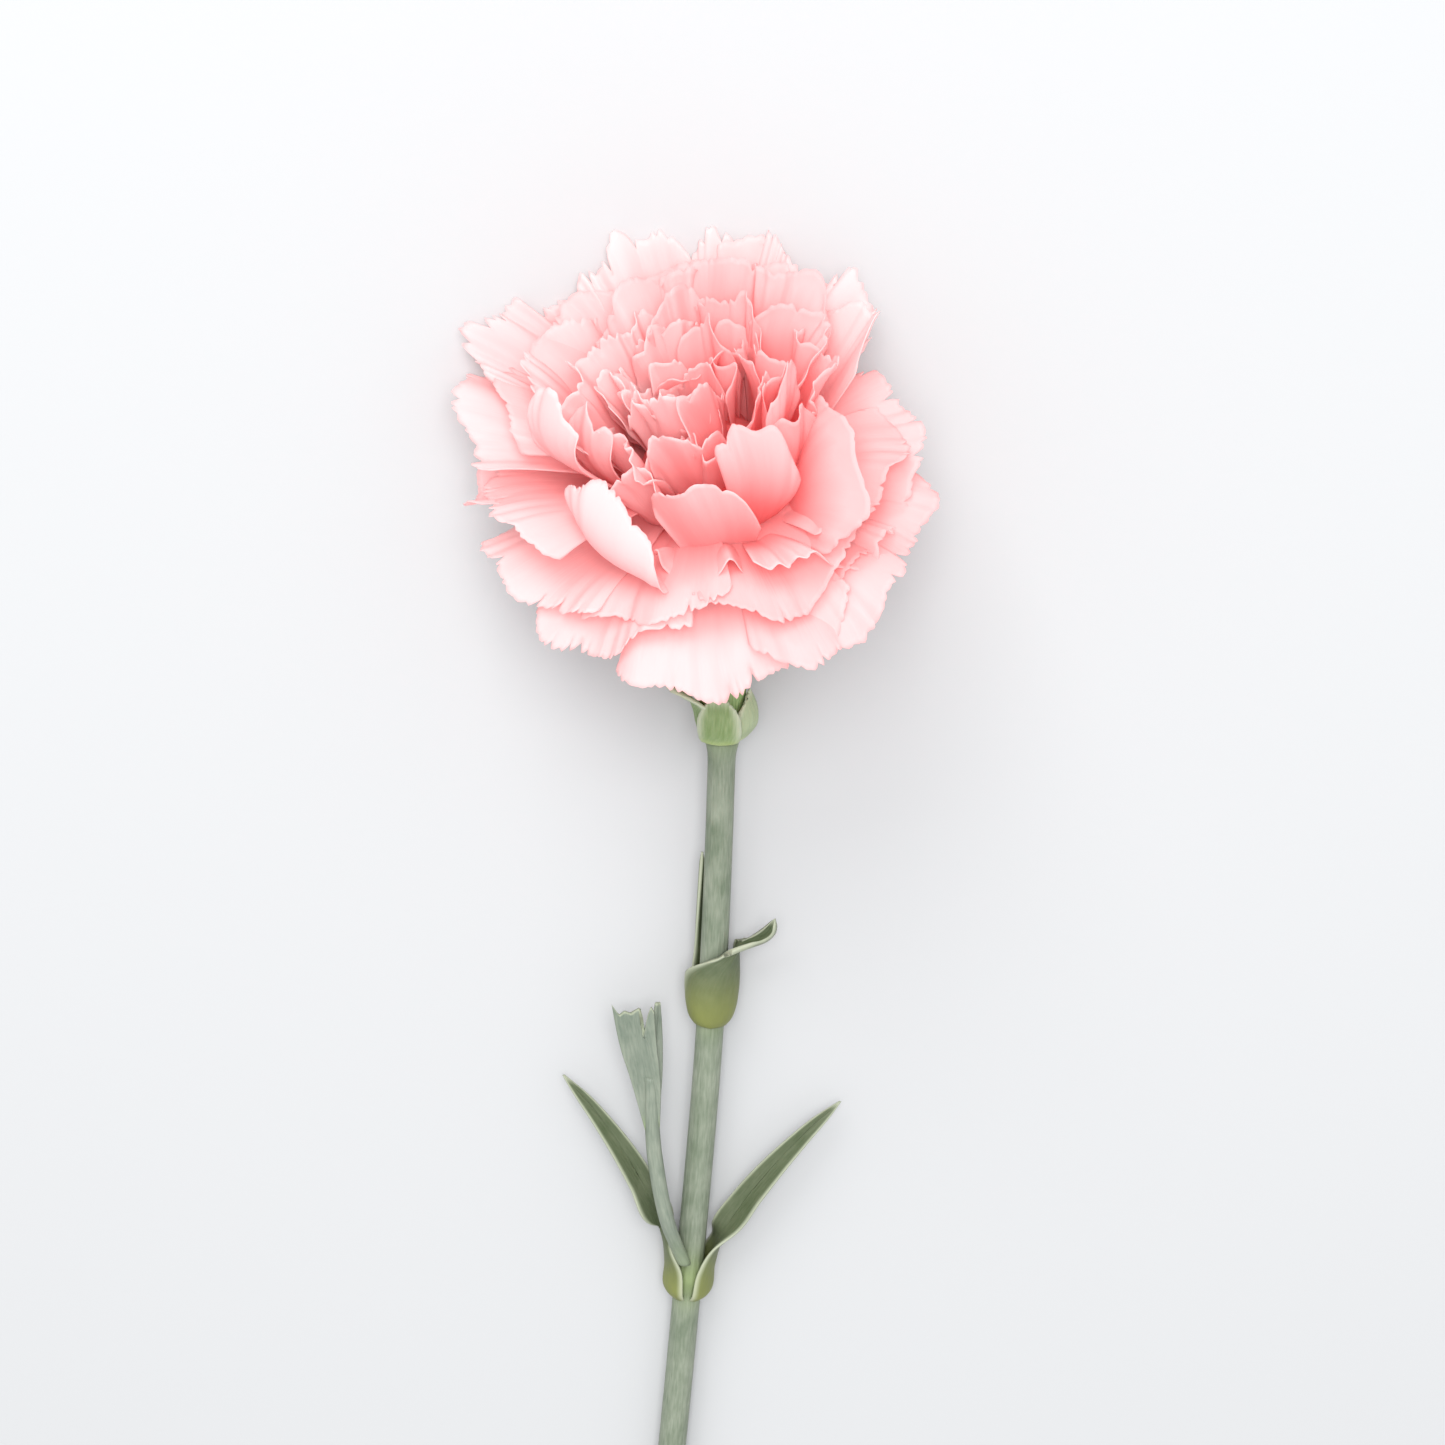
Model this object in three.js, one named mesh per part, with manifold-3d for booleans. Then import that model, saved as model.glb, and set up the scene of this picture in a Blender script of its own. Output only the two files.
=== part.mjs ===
// A double carnation cut with its stem. It lies on a table, its bloom towards +Y,
// resting on the back of the bloom and on the cut end of the stem.
import * as THREE from 'three';
import { mergeVertices } from 'three/addons/utils/BufferGeometryUtils.js';
import Module from 'manifold-3d';

// Driving dimensions, in millimetres and degrees
const RIM = new THREE.Vector3(5.47, 121.63, 16); // where the petals leave the calyx
const BLOOM_RISE = 25; // slope of the bloom's axis above the table
const BLOOM_LEAN = 12; // lean of the bloom's axis towards -X
const CALYX_RISE = 11; // slope of the calyx above the table
const CALYX_DROP = 43; // from the petals' start down to the foot of the calyx
const STEM_LENGTH = 250;
const STEM_RADIUS = 2.7;
const UPPER_JOINT = 53; // leaf joints, measured down the stem from the foot of the calyx
const MIDDLE_JOINT = 112;
const LOWER_JOINT = 186;
const PETAL_THICKNESS = 0.7;
const LEAF_THICKNESS = 0.9;
const GAP = 0.3; // left between neighbouring pieces
const TABLE_SOFTNESS = 5; // petals this near the table bend along it

// Kinds of petals from the outside in: where they start beside and along the bloom's axis,
// the cup across the petal, the size of the waves that neighbours share, of its own wave and
// of its creases, the depth of its teeth, the fall of its shoulders, and how far one side is
// tucked under its neighbour
const KINDS = {
  back: { beside: 3, along: 0, cup: 0.003, wave: 1.8, own: 1.0, crease: 1.2,
    tooth: 1.8, fall: 0.16, tuck: 1.6 },
  outer: { beside: 3, along: 0, cup: 0.003, wave: 2.2, own: 1.4, crease: 0.9,
    tooth: 1.6, fall: 0.16, tuck: 1.6 },
  front: { beside: 3, along: 3, cup: 0.008, wave: 2.2, own: 1.6, crease: 0.8,
    tooth: 1.5, fall: 0.16, tuck: 1.6 },
  ruffle: { beside: 4, along: 3, cup: 0.02, wave: 1.5, own: 2.4, crease: 1.4,
    tooth: 0.6, fall: 0.12, tuck: 1.2 },
  smooth: { beside: 4, along: 2, cup: 0.03, wave: 0.8, own: 0.9, crease: 0.3,
    tooth: 0.6, fall: 0.2, tuck: 1.2 },
  collar: { beside: 4, along: 2, cup: 0.032, wave: 2.0, own: 1.6, crease: 0.9,
    tooth: 1.2, fall: 0.16, tuck: 1.4 },
  belly: { beside: 4, along: 2, cup: -0.02, wave: 0.5, own: 0.7, crease: 0.3,
    tooth: 0.9, fall: 0.2, tuck: 1.2 },
  scroll: { beside: 4, along: 2, cup: 0.03, wave: 0.5, own: 0.6, crease: 0.3,
    tooth: 0.8, fall: 0.42, tuck: 0.6 },
  inner: { beside: 3, along: 2, cup: 0.05, wave: 2.2, own: 2.0, crease: 0.9,
    tooth: 1.2, fall: 0.18, tuck: 1.2 },
  swirl: { beside: 2, along: 3, cup: 0.09, wave: 1.3, own: 1.5, crease: 0.7,
    tooth: 1.0, fall: 0.2, tuck: 1.0 },
  heart: { beside: 1, along: 3, cup: 0.14, wave: 1.0, own: 1.1, crease: 0.5,
    tooth: 1.0, fall: 0.2, tuck: 0.8 },
};

// Petals placed one by one: kind, place round the axis (-90 is the upper side, 90 the table
// side), length, half spread, slope off the axis at the foot, the middle and the margin, how
// much more one side slopes than the other, and the roll of the margin
const PLACED = [
  ['back', 103, 51, 15, 22, 50, 54, 0, 0.5],
  ['back', 78, 49.5, 15, 22, 50, 54, 0, 0.5],
  ['back', 60, 48, 14, 22, 50, 54, 0, 0.5],
  ['back', 44, 45, 14, 24, 58, 64, 0, 1.0],
  ['back', 137, 54, 16, 22, 60, 66, 0, 0.5],
  ['outer', 161, 49, 21, 24, 66, 74, 0, 0.5],
  ['outer', -176, 44, 25, 28, 76, 84, 0, 0.5],
  ['outer', -155, 42, 31, 34, 86, 96, 0, 1.0],
  ['outer', -124, 39.5, 30, 36, 92, 104, 0, 1.5],
  ['outer', -84, 44, 33, 40, 98, 114, 0, 2.5],
  ['outer', -61, 46, 21, 38, 96, 102, 0, 1.0],
  ['outer', -32, 40, 26, 34, 88, 96, 0, 1.0],
  ['outer', -4, 38.5, 28, 30, 74, 82, -12, 0.5],
  ['front', 94, 40, 26, 20, 42, 44, 0, 1.0],
  ['front', 62, 40, 22, 22, 44, 46, 0, 1.0],
  ['front', 126, 42, 24, 22, 48, 52, 0, 1.0],
  ['front', 154, 41, 24, 26, 58, 62, 0, 1.0],
  ['front', -164, 38, 28, 36, 70, 74, 0, 1.0],
  ['front', -114, 35, 33, 42, 86, 96, 0, 1.5],
  ['front', -64, 37, 33, 40, 84, 90, 0, 1.5],
  ['front', -24, 36, 28, 38, 74, 80, 0, 1.0],
  ['ruffle', -86, 26, 30, 56, 68, 90, 3, 0.5],
  ['ruffle', -53, 35, 24, 56, 76, 88, 18, 0.5],
  ['belly', -41, 41, 15.5, 59, 42, 68, -29, 0],
  ['scroll', -122, 44, 23, 74, 51, -58, 21, 0],
  ['smooth', -164, 45, 11, 46, 36, -30, -5, 0],
  ['smooth', 22, 41, 14, 52, 44, 40, 0, 0],
  ['collar', 46, 41, 24, 44, 32, 26, 0, 2.0],
  ['collar', 78, 40, 26, 44, 28, 20, 0, 2.0],
  ['collar', 110, 39, 26, 46, 30, 22, 0, 2.0],
  ['collar', 144, 40, 28, 48, 34, 26, 0, 2.0],
  ['smooth', -63, 39, 10.5, 74, 25, -26, 19, 0],
  ['smooth', 100, 31, 20, 20, 2, -36, 0, 0],
  ['smooth', 10, 33, 14, 34, 10, -6, 0, 0],
  ['inner', 4, 38, 20, 52, 30, 14, 0, 1.5],
  ['inner', 28, 38, 20, 44, 24, 14, 0, 1.5],
  ['inner', 58, 37, 20, 38, 20, 8, 0, 1.5],
  ['inner', 92, 36, 20, 38, 20, 8, 0, 1.5],
  ['inner', 128, 36, 20, 38, 20, 8, 0, 1.5],
  ['inner', 164, 36, 20, 44, 22, 12, 0, 1.5],
  ['smooth', -157, 37, 10, 49, 27, -28, -3, 0],
  ['inner', -122, 29, 22, 62, 26, 6, 0, 1.5],
  ['smooth', -84, 38, 17, 107, 16, 16, 12, 0],
];

// The small petals of the middle, in rings: kind, count, place of the first, length, half
// spread, the three slopes, how much these vary, and the roll
const RINGS = [
  ['swirl', 5, -60, 33, 18, 34, 14, 4, 16, 1.0],
  ['heart', 3, -95, 30, 16, 18, 8, -4, 18, 0.5],
];
const HEAD_RADIUS = 12; // dense foot of the bloom, which the petals stand out of
const HEAD_HEIGHT = 11;
// Columns in each row of points across a petal, from its foot to its margin
const WIDE_ROWS = [2, 4, 8];
const NARROW_ROWS = [2, 3, 6];
const WIDE_SPREAD = 29; // half spread from which a petal has the wide rows

const wasm = await Module();
wasm.setup();

const radians = THREE.MathUtils.degToRad;
const clamp01 = (x) => Math.min(Math.max(x, 0), 1);
const lerp = THREE.MathUtils.lerp;

function ease(x) {
  const c = clamp01(x);
  return c * c * (3 - 2 * c);
}

// A repeatable draw between 0 and 1
function draw(seed, k) {
  const x = Math.sin(seed * 12.9898 + k * 78.233) * 43758.5453;
  return x - Math.floor(x);
}

// A wave with flattened slopes and tight turns
function foldWave(x) {
  return Math.asin(0.96 * Math.sin(x)) / Math.asin(0.96);
}

// Point on a list of [distance, value] pairs
function along(stations, x) {
  for (let i = 1; i < stations.length; i++) {
    const [x0, y0] = stations[i - 1];
    const [x1, y1] = stations[i];
    if (x <= x1) return lerp(y0, y1, clamp01((x - x0) / (x1 - x0)));
  }
  return stations[stations.length - 1][1];
}

// Closed solid round a sheet of points. Rows may differ in their number of points, and
// both faces are split into the same triangles.
function sheetGeometry(rows, thickness) {
  const points = rows.flat();
  const starts = [];
  let count = 0;
  for (const row of rows) {
    starts.push(count);
    count += row.length;
  }
  const face = [];
  for (let r = 1; r < rows.length; r++) {
    const low = rows[r - 1].length - 1;
    const high = rows[r].length - 1;
    let i = 0;
    let j = 0;
    while (i < low || j < high) {
      const a = starts[r - 1] + i;
      const b = starts[r] + j;
      const stepLow = j === high || (i < low && (i + 1) / low < (j + 1) / high);
      face.push(stepLow ? [a, a + 1, b] : [a, b + 1, b]);
      if (stepLow) i += 1;
      else j += 1;
    }
  }
  const normals = points.map(() => new THREE.Vector3());
  for (const [a, b, c] of face) {
    const ab = points[b].clone().sub(points[a]);
    const normal = ab.cross(points[c].clone().sub(points[a]));
    for (const k of [a, b, c]) normals[k].add(normal);
  }
  const position = [];
  for (const side of [0.5, -0.5]) {
    points.forEach((p, k) => {
      const q = p.clone().addScaledVector(normals[k].normalize(), side * thickness);
      position.push(q.x, q.y, q.z);
    });
  }
  const last = rows.length - 1;
  const edge = [];
  for (let k = 0; k < rows[0].length; k++) edge.push(k);
  for (let r = 1; r <= last; r++) edge.push(starts[r] + rows[r].length - 1);
  for (let k = rows[last].length - 2; k >= 0; k--) edge.push(starts[last] + k);
  for (let r = last - 1; r > 0; r--) edge.push(starts[r]);
  const index = [];
  for (const [a, b, c] of face) index.push(a, b, c, count + a, count + c, count + b);
  edge.forEach((a, k) => {
    const b = edge[(k + 1) % edge.length];
    index.push(a, count + a, count + b, a, count + b, b);
  });
  const geometry = new THREE.BufferGeometry();
  geometry.setAttribute('position', new THREE.Float32BufferAttribute(position, 3));
  geometry.setIndex(index);
  return geometry;
}

// The bare closed mesh of a geometry, its shared vertices merged
function bareMesh(geometry) {
  const bare = geometry.clone();
  bare.deleteAttribute('normal');
  bare.deleteAttribute('uv');
  return mergeVertices(bare, 1e-4);
}

function toSolid(geometry) {
  const bare = bareMesh(geometry);
  const vertProperties = new Float32Array(bare.attributes.position.array);
  const triVerts = new Uint32Array(bare.index.array);
  return new wasm.Manifold(new wasm.Mesh({ numProp: 3, vertProperties, triVerts }));
}

// One body from several: joined, with loose scraps and sealed hollows left out
function fuse(geometries) {
  let solids = geometries.map(toSolid);
  while (solids.length > 1) {
    const joined = [];
    for (let i = 0; i < solids.length; i += 2) {
      joined.push(i + 1 < solids.length ? solids[i].add(solids[i + 1]) : solids[i]);
    }
    solids = joined;
  }
  const bodies = solids[0].decompose();
  bodies.sort((a, b) => b.volume() - a.volume());
  const mesh = bodies[0].getMesh();
  const geometry = new THREE.BufferGeometry();
  geometry.setAttribute('position', new THREE.BufferAttribute(mesh.vertProperties, 3));
  geometry.setIndex(new THREE.BufferAttribute(mesh.triVerts, 1));
  return geometry;
}

// The bloom's own directions: right, towards the table, and out along its axis
function bloomAxes() {
  const rise = radians(BLOOM_RISE);
  const lean = radians(BLOOM_LEAN);
  const back = new THREE.Vector3(0, Math.sin(rise), -Math.cos(rise));
  const axis = new THREE.Vector3(0, Math.cos(rise), Math.sin(rise));
  const right = new THREE.Vector3(1, 0, 0);
  const leanedAxis = axis.clone().multiplyScalar(Math.cos(lean)).addScaledVector(right, -Math.sin(lean));
  const leanedRight = right.clone().multiplyScalar(Math.cos(lean)).addScaledVector(axis, Math.sin(lean));
  return { right: leanedRight, back, axis: leanedAxis };
}
const BLOOM = bloomAxes();

// Bends a point along the table where it would go into it
function clearTable(point, thickness) {
  const lowest = thickness / 2;
  const depth = TABLE_SOFTNESS - lowest;
  if (point.z < TABLE_SOFTNESS) {
    point.z = lowest + depth * Math.exp((point.z - TABLE_SOFTNESS) / depth);
  }
  return point;
}

// Slope off the bloom's axis at share q of a petal's length
function slopeAt(petal, q, side) {
  const [foot, middle, margin] = petal.slope.map(radians);
  return foot + (middle - foot) * ease(q / 0.5) + (margin - middle) * ease((q - 0.55) / 0.45)
    + radians(petal.skew) * side * ease(q / 0.6);
}

// Radius and height of a petal's lengthwise line at share q of its length
function midline(petal, q, side) {
  const steps = 40;
  let radius = 0;
  let height = 0;
  for (let i = 0; i < steps; i++) {
    const slope = slopeAt(petal, (q * (i + 0.5)) / steps, side);
    radius += (Math.sin(slope) * petal.length * q) / steps;
    height += (Math.cos(slope) * petal.length * q) / steps;
  }
  return { radius, height };
}

// Waves round the bloom that neighbouring petals share, so that they nest
function sharedWave(turned, reach) {
  const round = radians(turned);
  return 0.7 * Math.sin(7 * round + 1.3 + 0.8 * Math.sin(2 * round))
    + 0.3 * Math.sin(12 * round + 4.1 + 1.2 * reach);
}

// Straight slopes that meet in a sharp crease once in every unit of side
function creaseWave(side) {
  const share = side - Math.floor(side);
  return Math.abs(2 * share - 1) - 0.5;
}

// Point on a petal: side runs from -1 to 1 across it, reach from 0 at its foot to 1
function petalPoint(petal, side, reach, column) {
  const seed = petal.seed;
  const turn = (k) => draw(seed, k) * 6;
  const toothed = column % 2 === 1 ? 0.35 + 0.65 * draw(seed * 1.7 + 0.37, column) : 0;
  const group = 0.65 + 0.35 * Math.sin(side * 11 + turn(3));
  const lobes = 0.035 * foldWave(side * 3.6 + turn(4)) + 0.022 * Math.sin(side * 9 + turn(5));
  const shoulder = petal.fall * Math.abs(side) ** 2.6;
  let length = petal.length * (1 - shoulder + lobes * ease((reach - 0.5) / 0.5));
  length -= petal.tooth * toothed * group * ease((reach - 0.93) / 0.07);
  const spread = radians(petal.spread) * (0.25 + 0.75 * ease(reach / 0.6));
  const across = reach * length * Math.sin(spread * side);
  const q = (reach * length * Math.cos(spread * side)) / petal.length;
  const { radius, height } = midline(petal, q, side);
  const slope = slopeAt(petal, q, side);

  let lift = petal.wave * reach ** 2.2 * sharedWave(petal.round + side * petal.spread, reach);
  lift += petal.own * reach ** 3 * Math.sin(Math.PI * 1.6 * side + petal.phase);
  lift += petal.tuck * side * ease(reach / 0.5);
  lift += petal.crease * reach ** 1.6 * creaseWave(side + petal.creased);
  lift -= petal.roll * ease((reach - 0.72) / 0.28) ** 2;
  const cup = petal.cup + 1e-6;
  lift += (1 - Math.cos(cup * across)) / cup;

  let x = Math.sin(cup * across) / cup;
  const r = petal.beside + radius - Math.cos(slope) * lift;
  let w = height + Math.sin(slope) * lift;
  const twist = radians(petal.lean) * reach;
  [x, w] = [x * Math.cos(twist) + w * Math.sin(twist),
    w * Math.cos(twist) - 0.6 * x * Math.sin(twist)];
  const round = radians(petal.round);
  const a = r * Math.cos(round) - x * Math.sin(round);
  const b = r * Math.sin(round) + x * Math.cos(round);
  const point = RIM.clone()
    .addScaledVector(BLOOM.right, a)
    .addScaledVector(BLOOM.back, b)
    .addScaledVector(BLOOM.axis, w + petal.along);
  return clearTable(point, PETAL_THICKNESS);
}

// Every petal, with small differences drawn from its number
function listPetals() {
  const rows = [...PLACED];
  let ringSeed = 60;
  for (const [kind, count, first, length, spread, foot, middle, margin, vary, roll] of RINGS) {
    for (let i = 0; i < count; i++) {
      ringSeed += 1;
      const off = (k) => draw(ringSeed, k) - 0.5;
      const round = first + (360 * i) / count + off(20) * 20;
      const slopes = [foot, middle, margin].map((v) => v + off(23) * vary);
      rows.push([kind, round, length * (1 + 0.1 * off(21)), spread * (1 + 0.2 * off(22)),
        ...slopes, 0, roll]);
    }
  }
  return rows.map(([kind, round, length, spread, foot, middle, margin, skew, roll], i) => {
    const seed = i + 2;
    const off = (k) => draw(seed, k) - 0.5;
    const look = KINDS[kind];
    return {
      ...look,
      seed,
      round,
      length,
      spread,
      slope: [foot, middle, margin],
      skew,
      roll,
      wave: look.wave * (1 + 0.6 * off(24)),
      crease: look.crease * (0.5 + draw(seed, 28)),
      creased: draw(seed, 11) * 1.54,
      lean: off(26) * 14,
      phase: draw(seed, 6) * 6.28,
    };
  });
}

function petalGeometry(petal) {
  const dips = petal.slope[0] > 90; // a petal that dips at its foot starts deeper in
  const first = dips ? 0.04 : 0.24;
  const columnCounts = petal.spread < WIDE_SPREAD ? NARROW_ROWS : WIDE_ROWS;
  const rows = columnCounts.map((columns, r) => {
    const reach = lerp(first, 1, (r / (columnCounts.length - 1)) ** 0.85);
    const row = [];
    for (let c = 0; c <= columns; c++) row.push(petalPoint(petal, (2 * c) / columns - 1, reach, c));
    return row;
  });
  return sheetGeometry(rows, PETAL_THICKNESS);
}

// The calyx runs along its own straight axis, measured from its foot
const calyxAxis = new THREE.Vector3(0, Math.cos(radians(CALYX_RISE)), Math.sin(radians(CALYX_RISE)));
const calyxFoot = RIM.clone().addScaledVector(calyxAxis, -CALYX_DROP);
const calyxFrame = new THREE.Matrix4()
  .makeRotationX(radians(CALYX_RISE))
  .setPosition(calyxFoot);

const CALYX_WALL = 0.8;
const CALYX_OUTSIDE = [[0, 2.2], [1.2, 3.0], [4, 3.7], [9, 4.2], [20, 5.8], [30, 7.4], [36, 8.2], [44, 9.6]];
const CALYX_TUBE = 35; // height of the tube up to the foot of its teeth
const CALYX_TEETH = 5;
const TOOTH_HEIGHT = 8;

// The cup of joined sepals, with five pointed teeth
function calyxGeometry() {
  const columns = CALYX_TEETH * 6;
  const heights = [0, 1.2, 4, 9, 20, 30, CALYX_TUBE];
  const profile = [new THREE.Vector2(0, 0)];
  for (const h of heights) profile.push(new THREE.Vector2(along(CALYX_OUTSIDE, h), h));
  for (const h of heights.slice(2).reverse()) {
    profile.push(new THREE.Vector2(along(CALYX_OUTSIDE, h) - CALYX_WALL, h));
  }
  profile.push(new THREE.Vector2(0, heights[2]));
  const cup = bareMesh(new THREE.LatheGeometry(profile, columns));
  const position = cup.attributes.position;
  for (let i = 0; i < position.count; i++) {
    const x = position.getX(i);
    const z = position.getZ(i);
    const y = position.getY(i);
    if (y < CALYX_TUBE - 0.01) continue;
    const turn = (Math.atan2(z, x) / (2 * Math.PI)) * CALYX_TEETH;
    const share = 1 - Math.abs((turn - Math.floor(turn)) * 2 - 1);
    const rise = TOOTH_HEIGHT * share ** 0.8;
    const swell = along(CALYX_OUTSIDE, CALYX_TUBE + rise) / along(CALYX_OUTSIDE, CALYX_TUBE);
    position.setXYZ(i, x * swell, y + rise, z * swell);
  }
  return cup.applyMatrix4(calyxFrame);
}

// The bundle of petal claws that fills the calyx, and the dense foot of the bloom above it
function clawGeometries() {
  const inside = (h) => along(CALYX_OUTSIDE, h) - CALYX_WALL - GAP - 0.1;
  const heights = [4.6, 9, 20, 30, 35, 42];
  const profile = [new THREE.Vector2(0, heights[0])];
  for (const h of heights) profile.push(new THREE.Vector2(inside(Math.min(h, CALYX_TUBE)), h));
  profile.push(new THREE.Vector2(0, heights[heights.length - 1]));
  const claws = new THREE.LatheGeometry(profile, 16).applyMatrix4(calyxFrame);
  const head = new THREE.SphereGeometry(HEAD_RADIUS, 12, 8);
  head.rotateX(Math.PI / 2);
  const basis = new THREE.Matrix4().makeBasis(BLOOM.right, BLOOM.back, BLOOM.axis);
  head.applyMatrix4(basis.setPosition(RIM.clone().addScaledVector(BLOOM.axis, HEAD_HEIGHT)));
  return [claws, head];
}

// A bract is a broad scale that hugs the foot of the calyx
function bractGeometry({ round, halfWidth, clear, height, point }) {
  const rows = [];
  const steps = [0, 0.2, 0.5, 0.8, 1];
  for (const t of steps) {
    const row = [];
    const columns = t < 0.9 ? 6 : 2;
    const taper = t < 0.5 ? 1 : lerp(1, 0.1, (t - 0.5) / 0.5);
    for (let c = 0; c <= columns; c++) {
      const s = (2 * c) / columns - 1;
      const h = 0.6 + height * t - 0.8 * s * s * t;
      const angle = radians(round + halfWidth * taper * s);
      const r = along(CALYX_OUTSIDE, h) + clear + point * t ** 6;
      row.push(new THREE.Vector3(r * Math.cos(angle), h, r * Math.sin(angle)));
    }
    rows.push(row.map((p) => p.applyMatrix4(calyxFrame)));
  }
  return sheetGeometry(rows, 0.7);
}

// Path of the stem's middle, from the foot of the calyx to the cut end
function stemCurve() {
  const foot = calyxFoot;
  const bends = [[0, 0, 0], [-0.6, -20, -0.9], [-2, -UPPER_JOINT, -1.8], [-6.5, -MIDDLE_JOINT, -3.2],
    [-13.5, -LOWER_JOINT, -4.3], [-22, -STEM_LENGTH, -4.9]];
  return new THREE.CatmullRomCurve3(bends.map(([x, y, z]) => foot.clone().add(new THREE.Vector3(x, y, z))));
}
const STEM = stemCurve();
const STEM_ARC = STEM.getLength();

// Middle of the stem at a distance down it, with its sideways (+X) and upward directions
function stemFrame(distance) {
  const u = clamp01(distance / STEM_ARC);
  const centre = STEM.getPointAt(u);
  const down = STEM.getTangentAt(u);
  const side = new THREE.Vector3().crossVectors(new THREE.Vector3(0, 0, 1), down).normalize();
  const up = new THREE.Vector3().crossVectors(down, side).normalize();
  return { centre, side, up };
}

// Radius of the stem: swollen at its joints and under the calyx
function stemRadius(distance) {
  let radius = lerp(STEM_RADIUS - 0.25, STEM_RADIUS + 0.15, distance / STEM_LENGTH);
  radius += 0.6 * Math.exp(-((distance / 2.2) ** 2));
  for (const joint of [UPPER_JOINT, MIDDLE_JOINT, LOWER_JOINT]) {
    radius += 0.75 * Math.exp(-(((distance - joint) / 2.6) ** 2));
  }
  return radius;
}

// Distances down the stem at which it gets a ring of points: closer together at its joints
function stemStations() {
  const stations = [GAP, 2, 4];
  let last = 4;
  for (const joint of [UPPER_JOINT, MIDDLE_JOINT, LOWER_JOINT]) {
    const gaps = 4;
    for (let i = 1; i <= gaps; i++) stations.push(lerp(last, joint - 5, i / gaps));
    for (const beside of [-3, -1.5, 0, 1.5, 3, 5]) stations.push(joint + beside);
    last = joint + 5;
  }
  for (let i = 1; i <= 5; i++) stations.push(lerp(last, STEM_ARC, i / 5));
  return stations;
}

// The stem, a round solid through rings of points along its curve
function stemGeometry() {
  const sides = 12;
  const rings = stemStations().map((distance) => {
    const { centre, side, up } = stemFrame(distance);
    const ring = [];
    for (let i = 0; i < sides; i++) {
      const angle = (2 * Math.PI * i) / sides;
      ring.push(centre.clone()
        .addScaledVector(side, stemRadius(distance) * Math.cos(angle))
        .addScaledVector(up, stemRadius(distance) * Math.sin(angle)));
    }
    return ring;
  });
  return ringGeometry(rings);
}

// Closed solid through rings of points, with a flat fan at each end
function ringGeometry(rings) {
  const sides = rings[0].length;
  const position = [];
  for (const ring of rings) for (const p of ring) position.push(p.x, p.y, p.z);
  const index = [];
  for (let r = 1; r < rings.length; r++) {
    for (let i = 0; i < sides; i++) {
      const a = (r - 1) * sides + i;
      const b = (r - 1) * sides + ((i + 1) % sides);
      index.push(a, b, b + sides, a, b + sides, a + sides);
    }
  }
  const last = (rings.length - 1) * sides;
  for (let i = 1; i < sides - 1; i++) {
    index.push(0, i + 1, i, last, last + i, last + i + 1);
  }
  const geometry = new THREE.BufferGeometry();
  geometry.setAttribute('position', new THREE.Float32BufferAttribute(position, 3));
  geometry.setIndex(index);
  const solid = toSolid(geometry);
  if (solid.volume() < 0) geometry.index.array.reverse();
  return geometry;
}

// A row of points round the stem, from one angle to another (0 is +X, 90 up), that may
// slant down the stem towards its far end
function sheathRow(distance, slant, radius, from, to, columns) {
  const row = [];
  for (let c = 0; c <= columns; c++) {
    const t = c / columns;
    const { centre, side, up } = stemFrame(distance + slant * t);
    const angle = radians(lerp(from, to, t));
    row.push(centre.clone()
      .addScaledVector(side, radius * Math.cos(angle))
      .addScaledVector(up, radius * Math.sin(angle)));
  }
  return row;
}

// A row of points across a free blade: its middle beside and above the stem, its half
// width, its roll in degrees, and how far its margins stand above its keel
function bladeRow(distance, beside, above, halfWidth, roll, keel, columns) {
  const { centre, side, up } = stemFrame(distance);
  const row = [];
  for (let c = 0; c <= columns; c++) {
    const s = (2 * c) / columns - 1;
    const across = halfWidth * s;
    const raised = keel * Math.abs(s) * halfWidth;
    const x = across * Math.cos(radians(roll)) - raised * Math.sin(radians(roll));
    const y = across * Math.sin(radians(roll)) + raised * Math.cos(radians(roll));
    row.push(centre.clone().addScaledVector(side, beside + x).addScaledVector(up, above + y));
  }
  return row;
}

// Leaf on the upper side of the upper joint: a bulging sheath with a slanting rim, whose
// short blade curls away to the right
function upperFrontLeaf() {
  const base = UPPER_JOINT;
  return sheetGeometry([
    sheathRow(base + 2.4, 0, 3.75, -20, 200, 8),
    sheathRow(base - 0.6, 0, 4.35, -22, 202, 8),
    sheathRow(base - 4.5, 0, 4.6, -24, 202, 8),
    sheathRow(base - 8.5, 1.5, 4.3, -24, 196, 8),
    sheathRow(base - 12, 4.5, 3.9, -22, 150, 6),
    sheathRow(base - 14, 3.5, 4.2, -20, 70, 4),
    bladeRow(base - 16, 5.6, 1.2, 1.7, 60, 0.3, 2),
    bladeRow(base - 18.5, 8.2, 2.2, 1.5, 50, 0.3, 2),
    bladeRow(base - 21, 9.8, 3.6, 0.5, 45, 0, 2),
  ], LEAF_THICKNESS);
}

// Its partner on the table side stands along the stem
function upperBackLeaf() {
  const base = UPPER_JOINT;
  return sheetGeometry([
    sheathRow(base + 2.4, 0, 3.75, 210, 330, 5),
    sheathRow(base - 4.5, 0, 4.5, 212, 326, 5),
    sheathRow(base - 10, 0, 4.3, 208, 300, 5),
    sheathRow(base - 17, 0, 3.9, 192, 262, 4),
    sheathRow(base - 27, 0, 3.7, 186, 232, 3),
    sheathRow(base - 35, 0, 3.6, 198, 208, 2),
  ], LEAF_THICKNESS);
}

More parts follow.
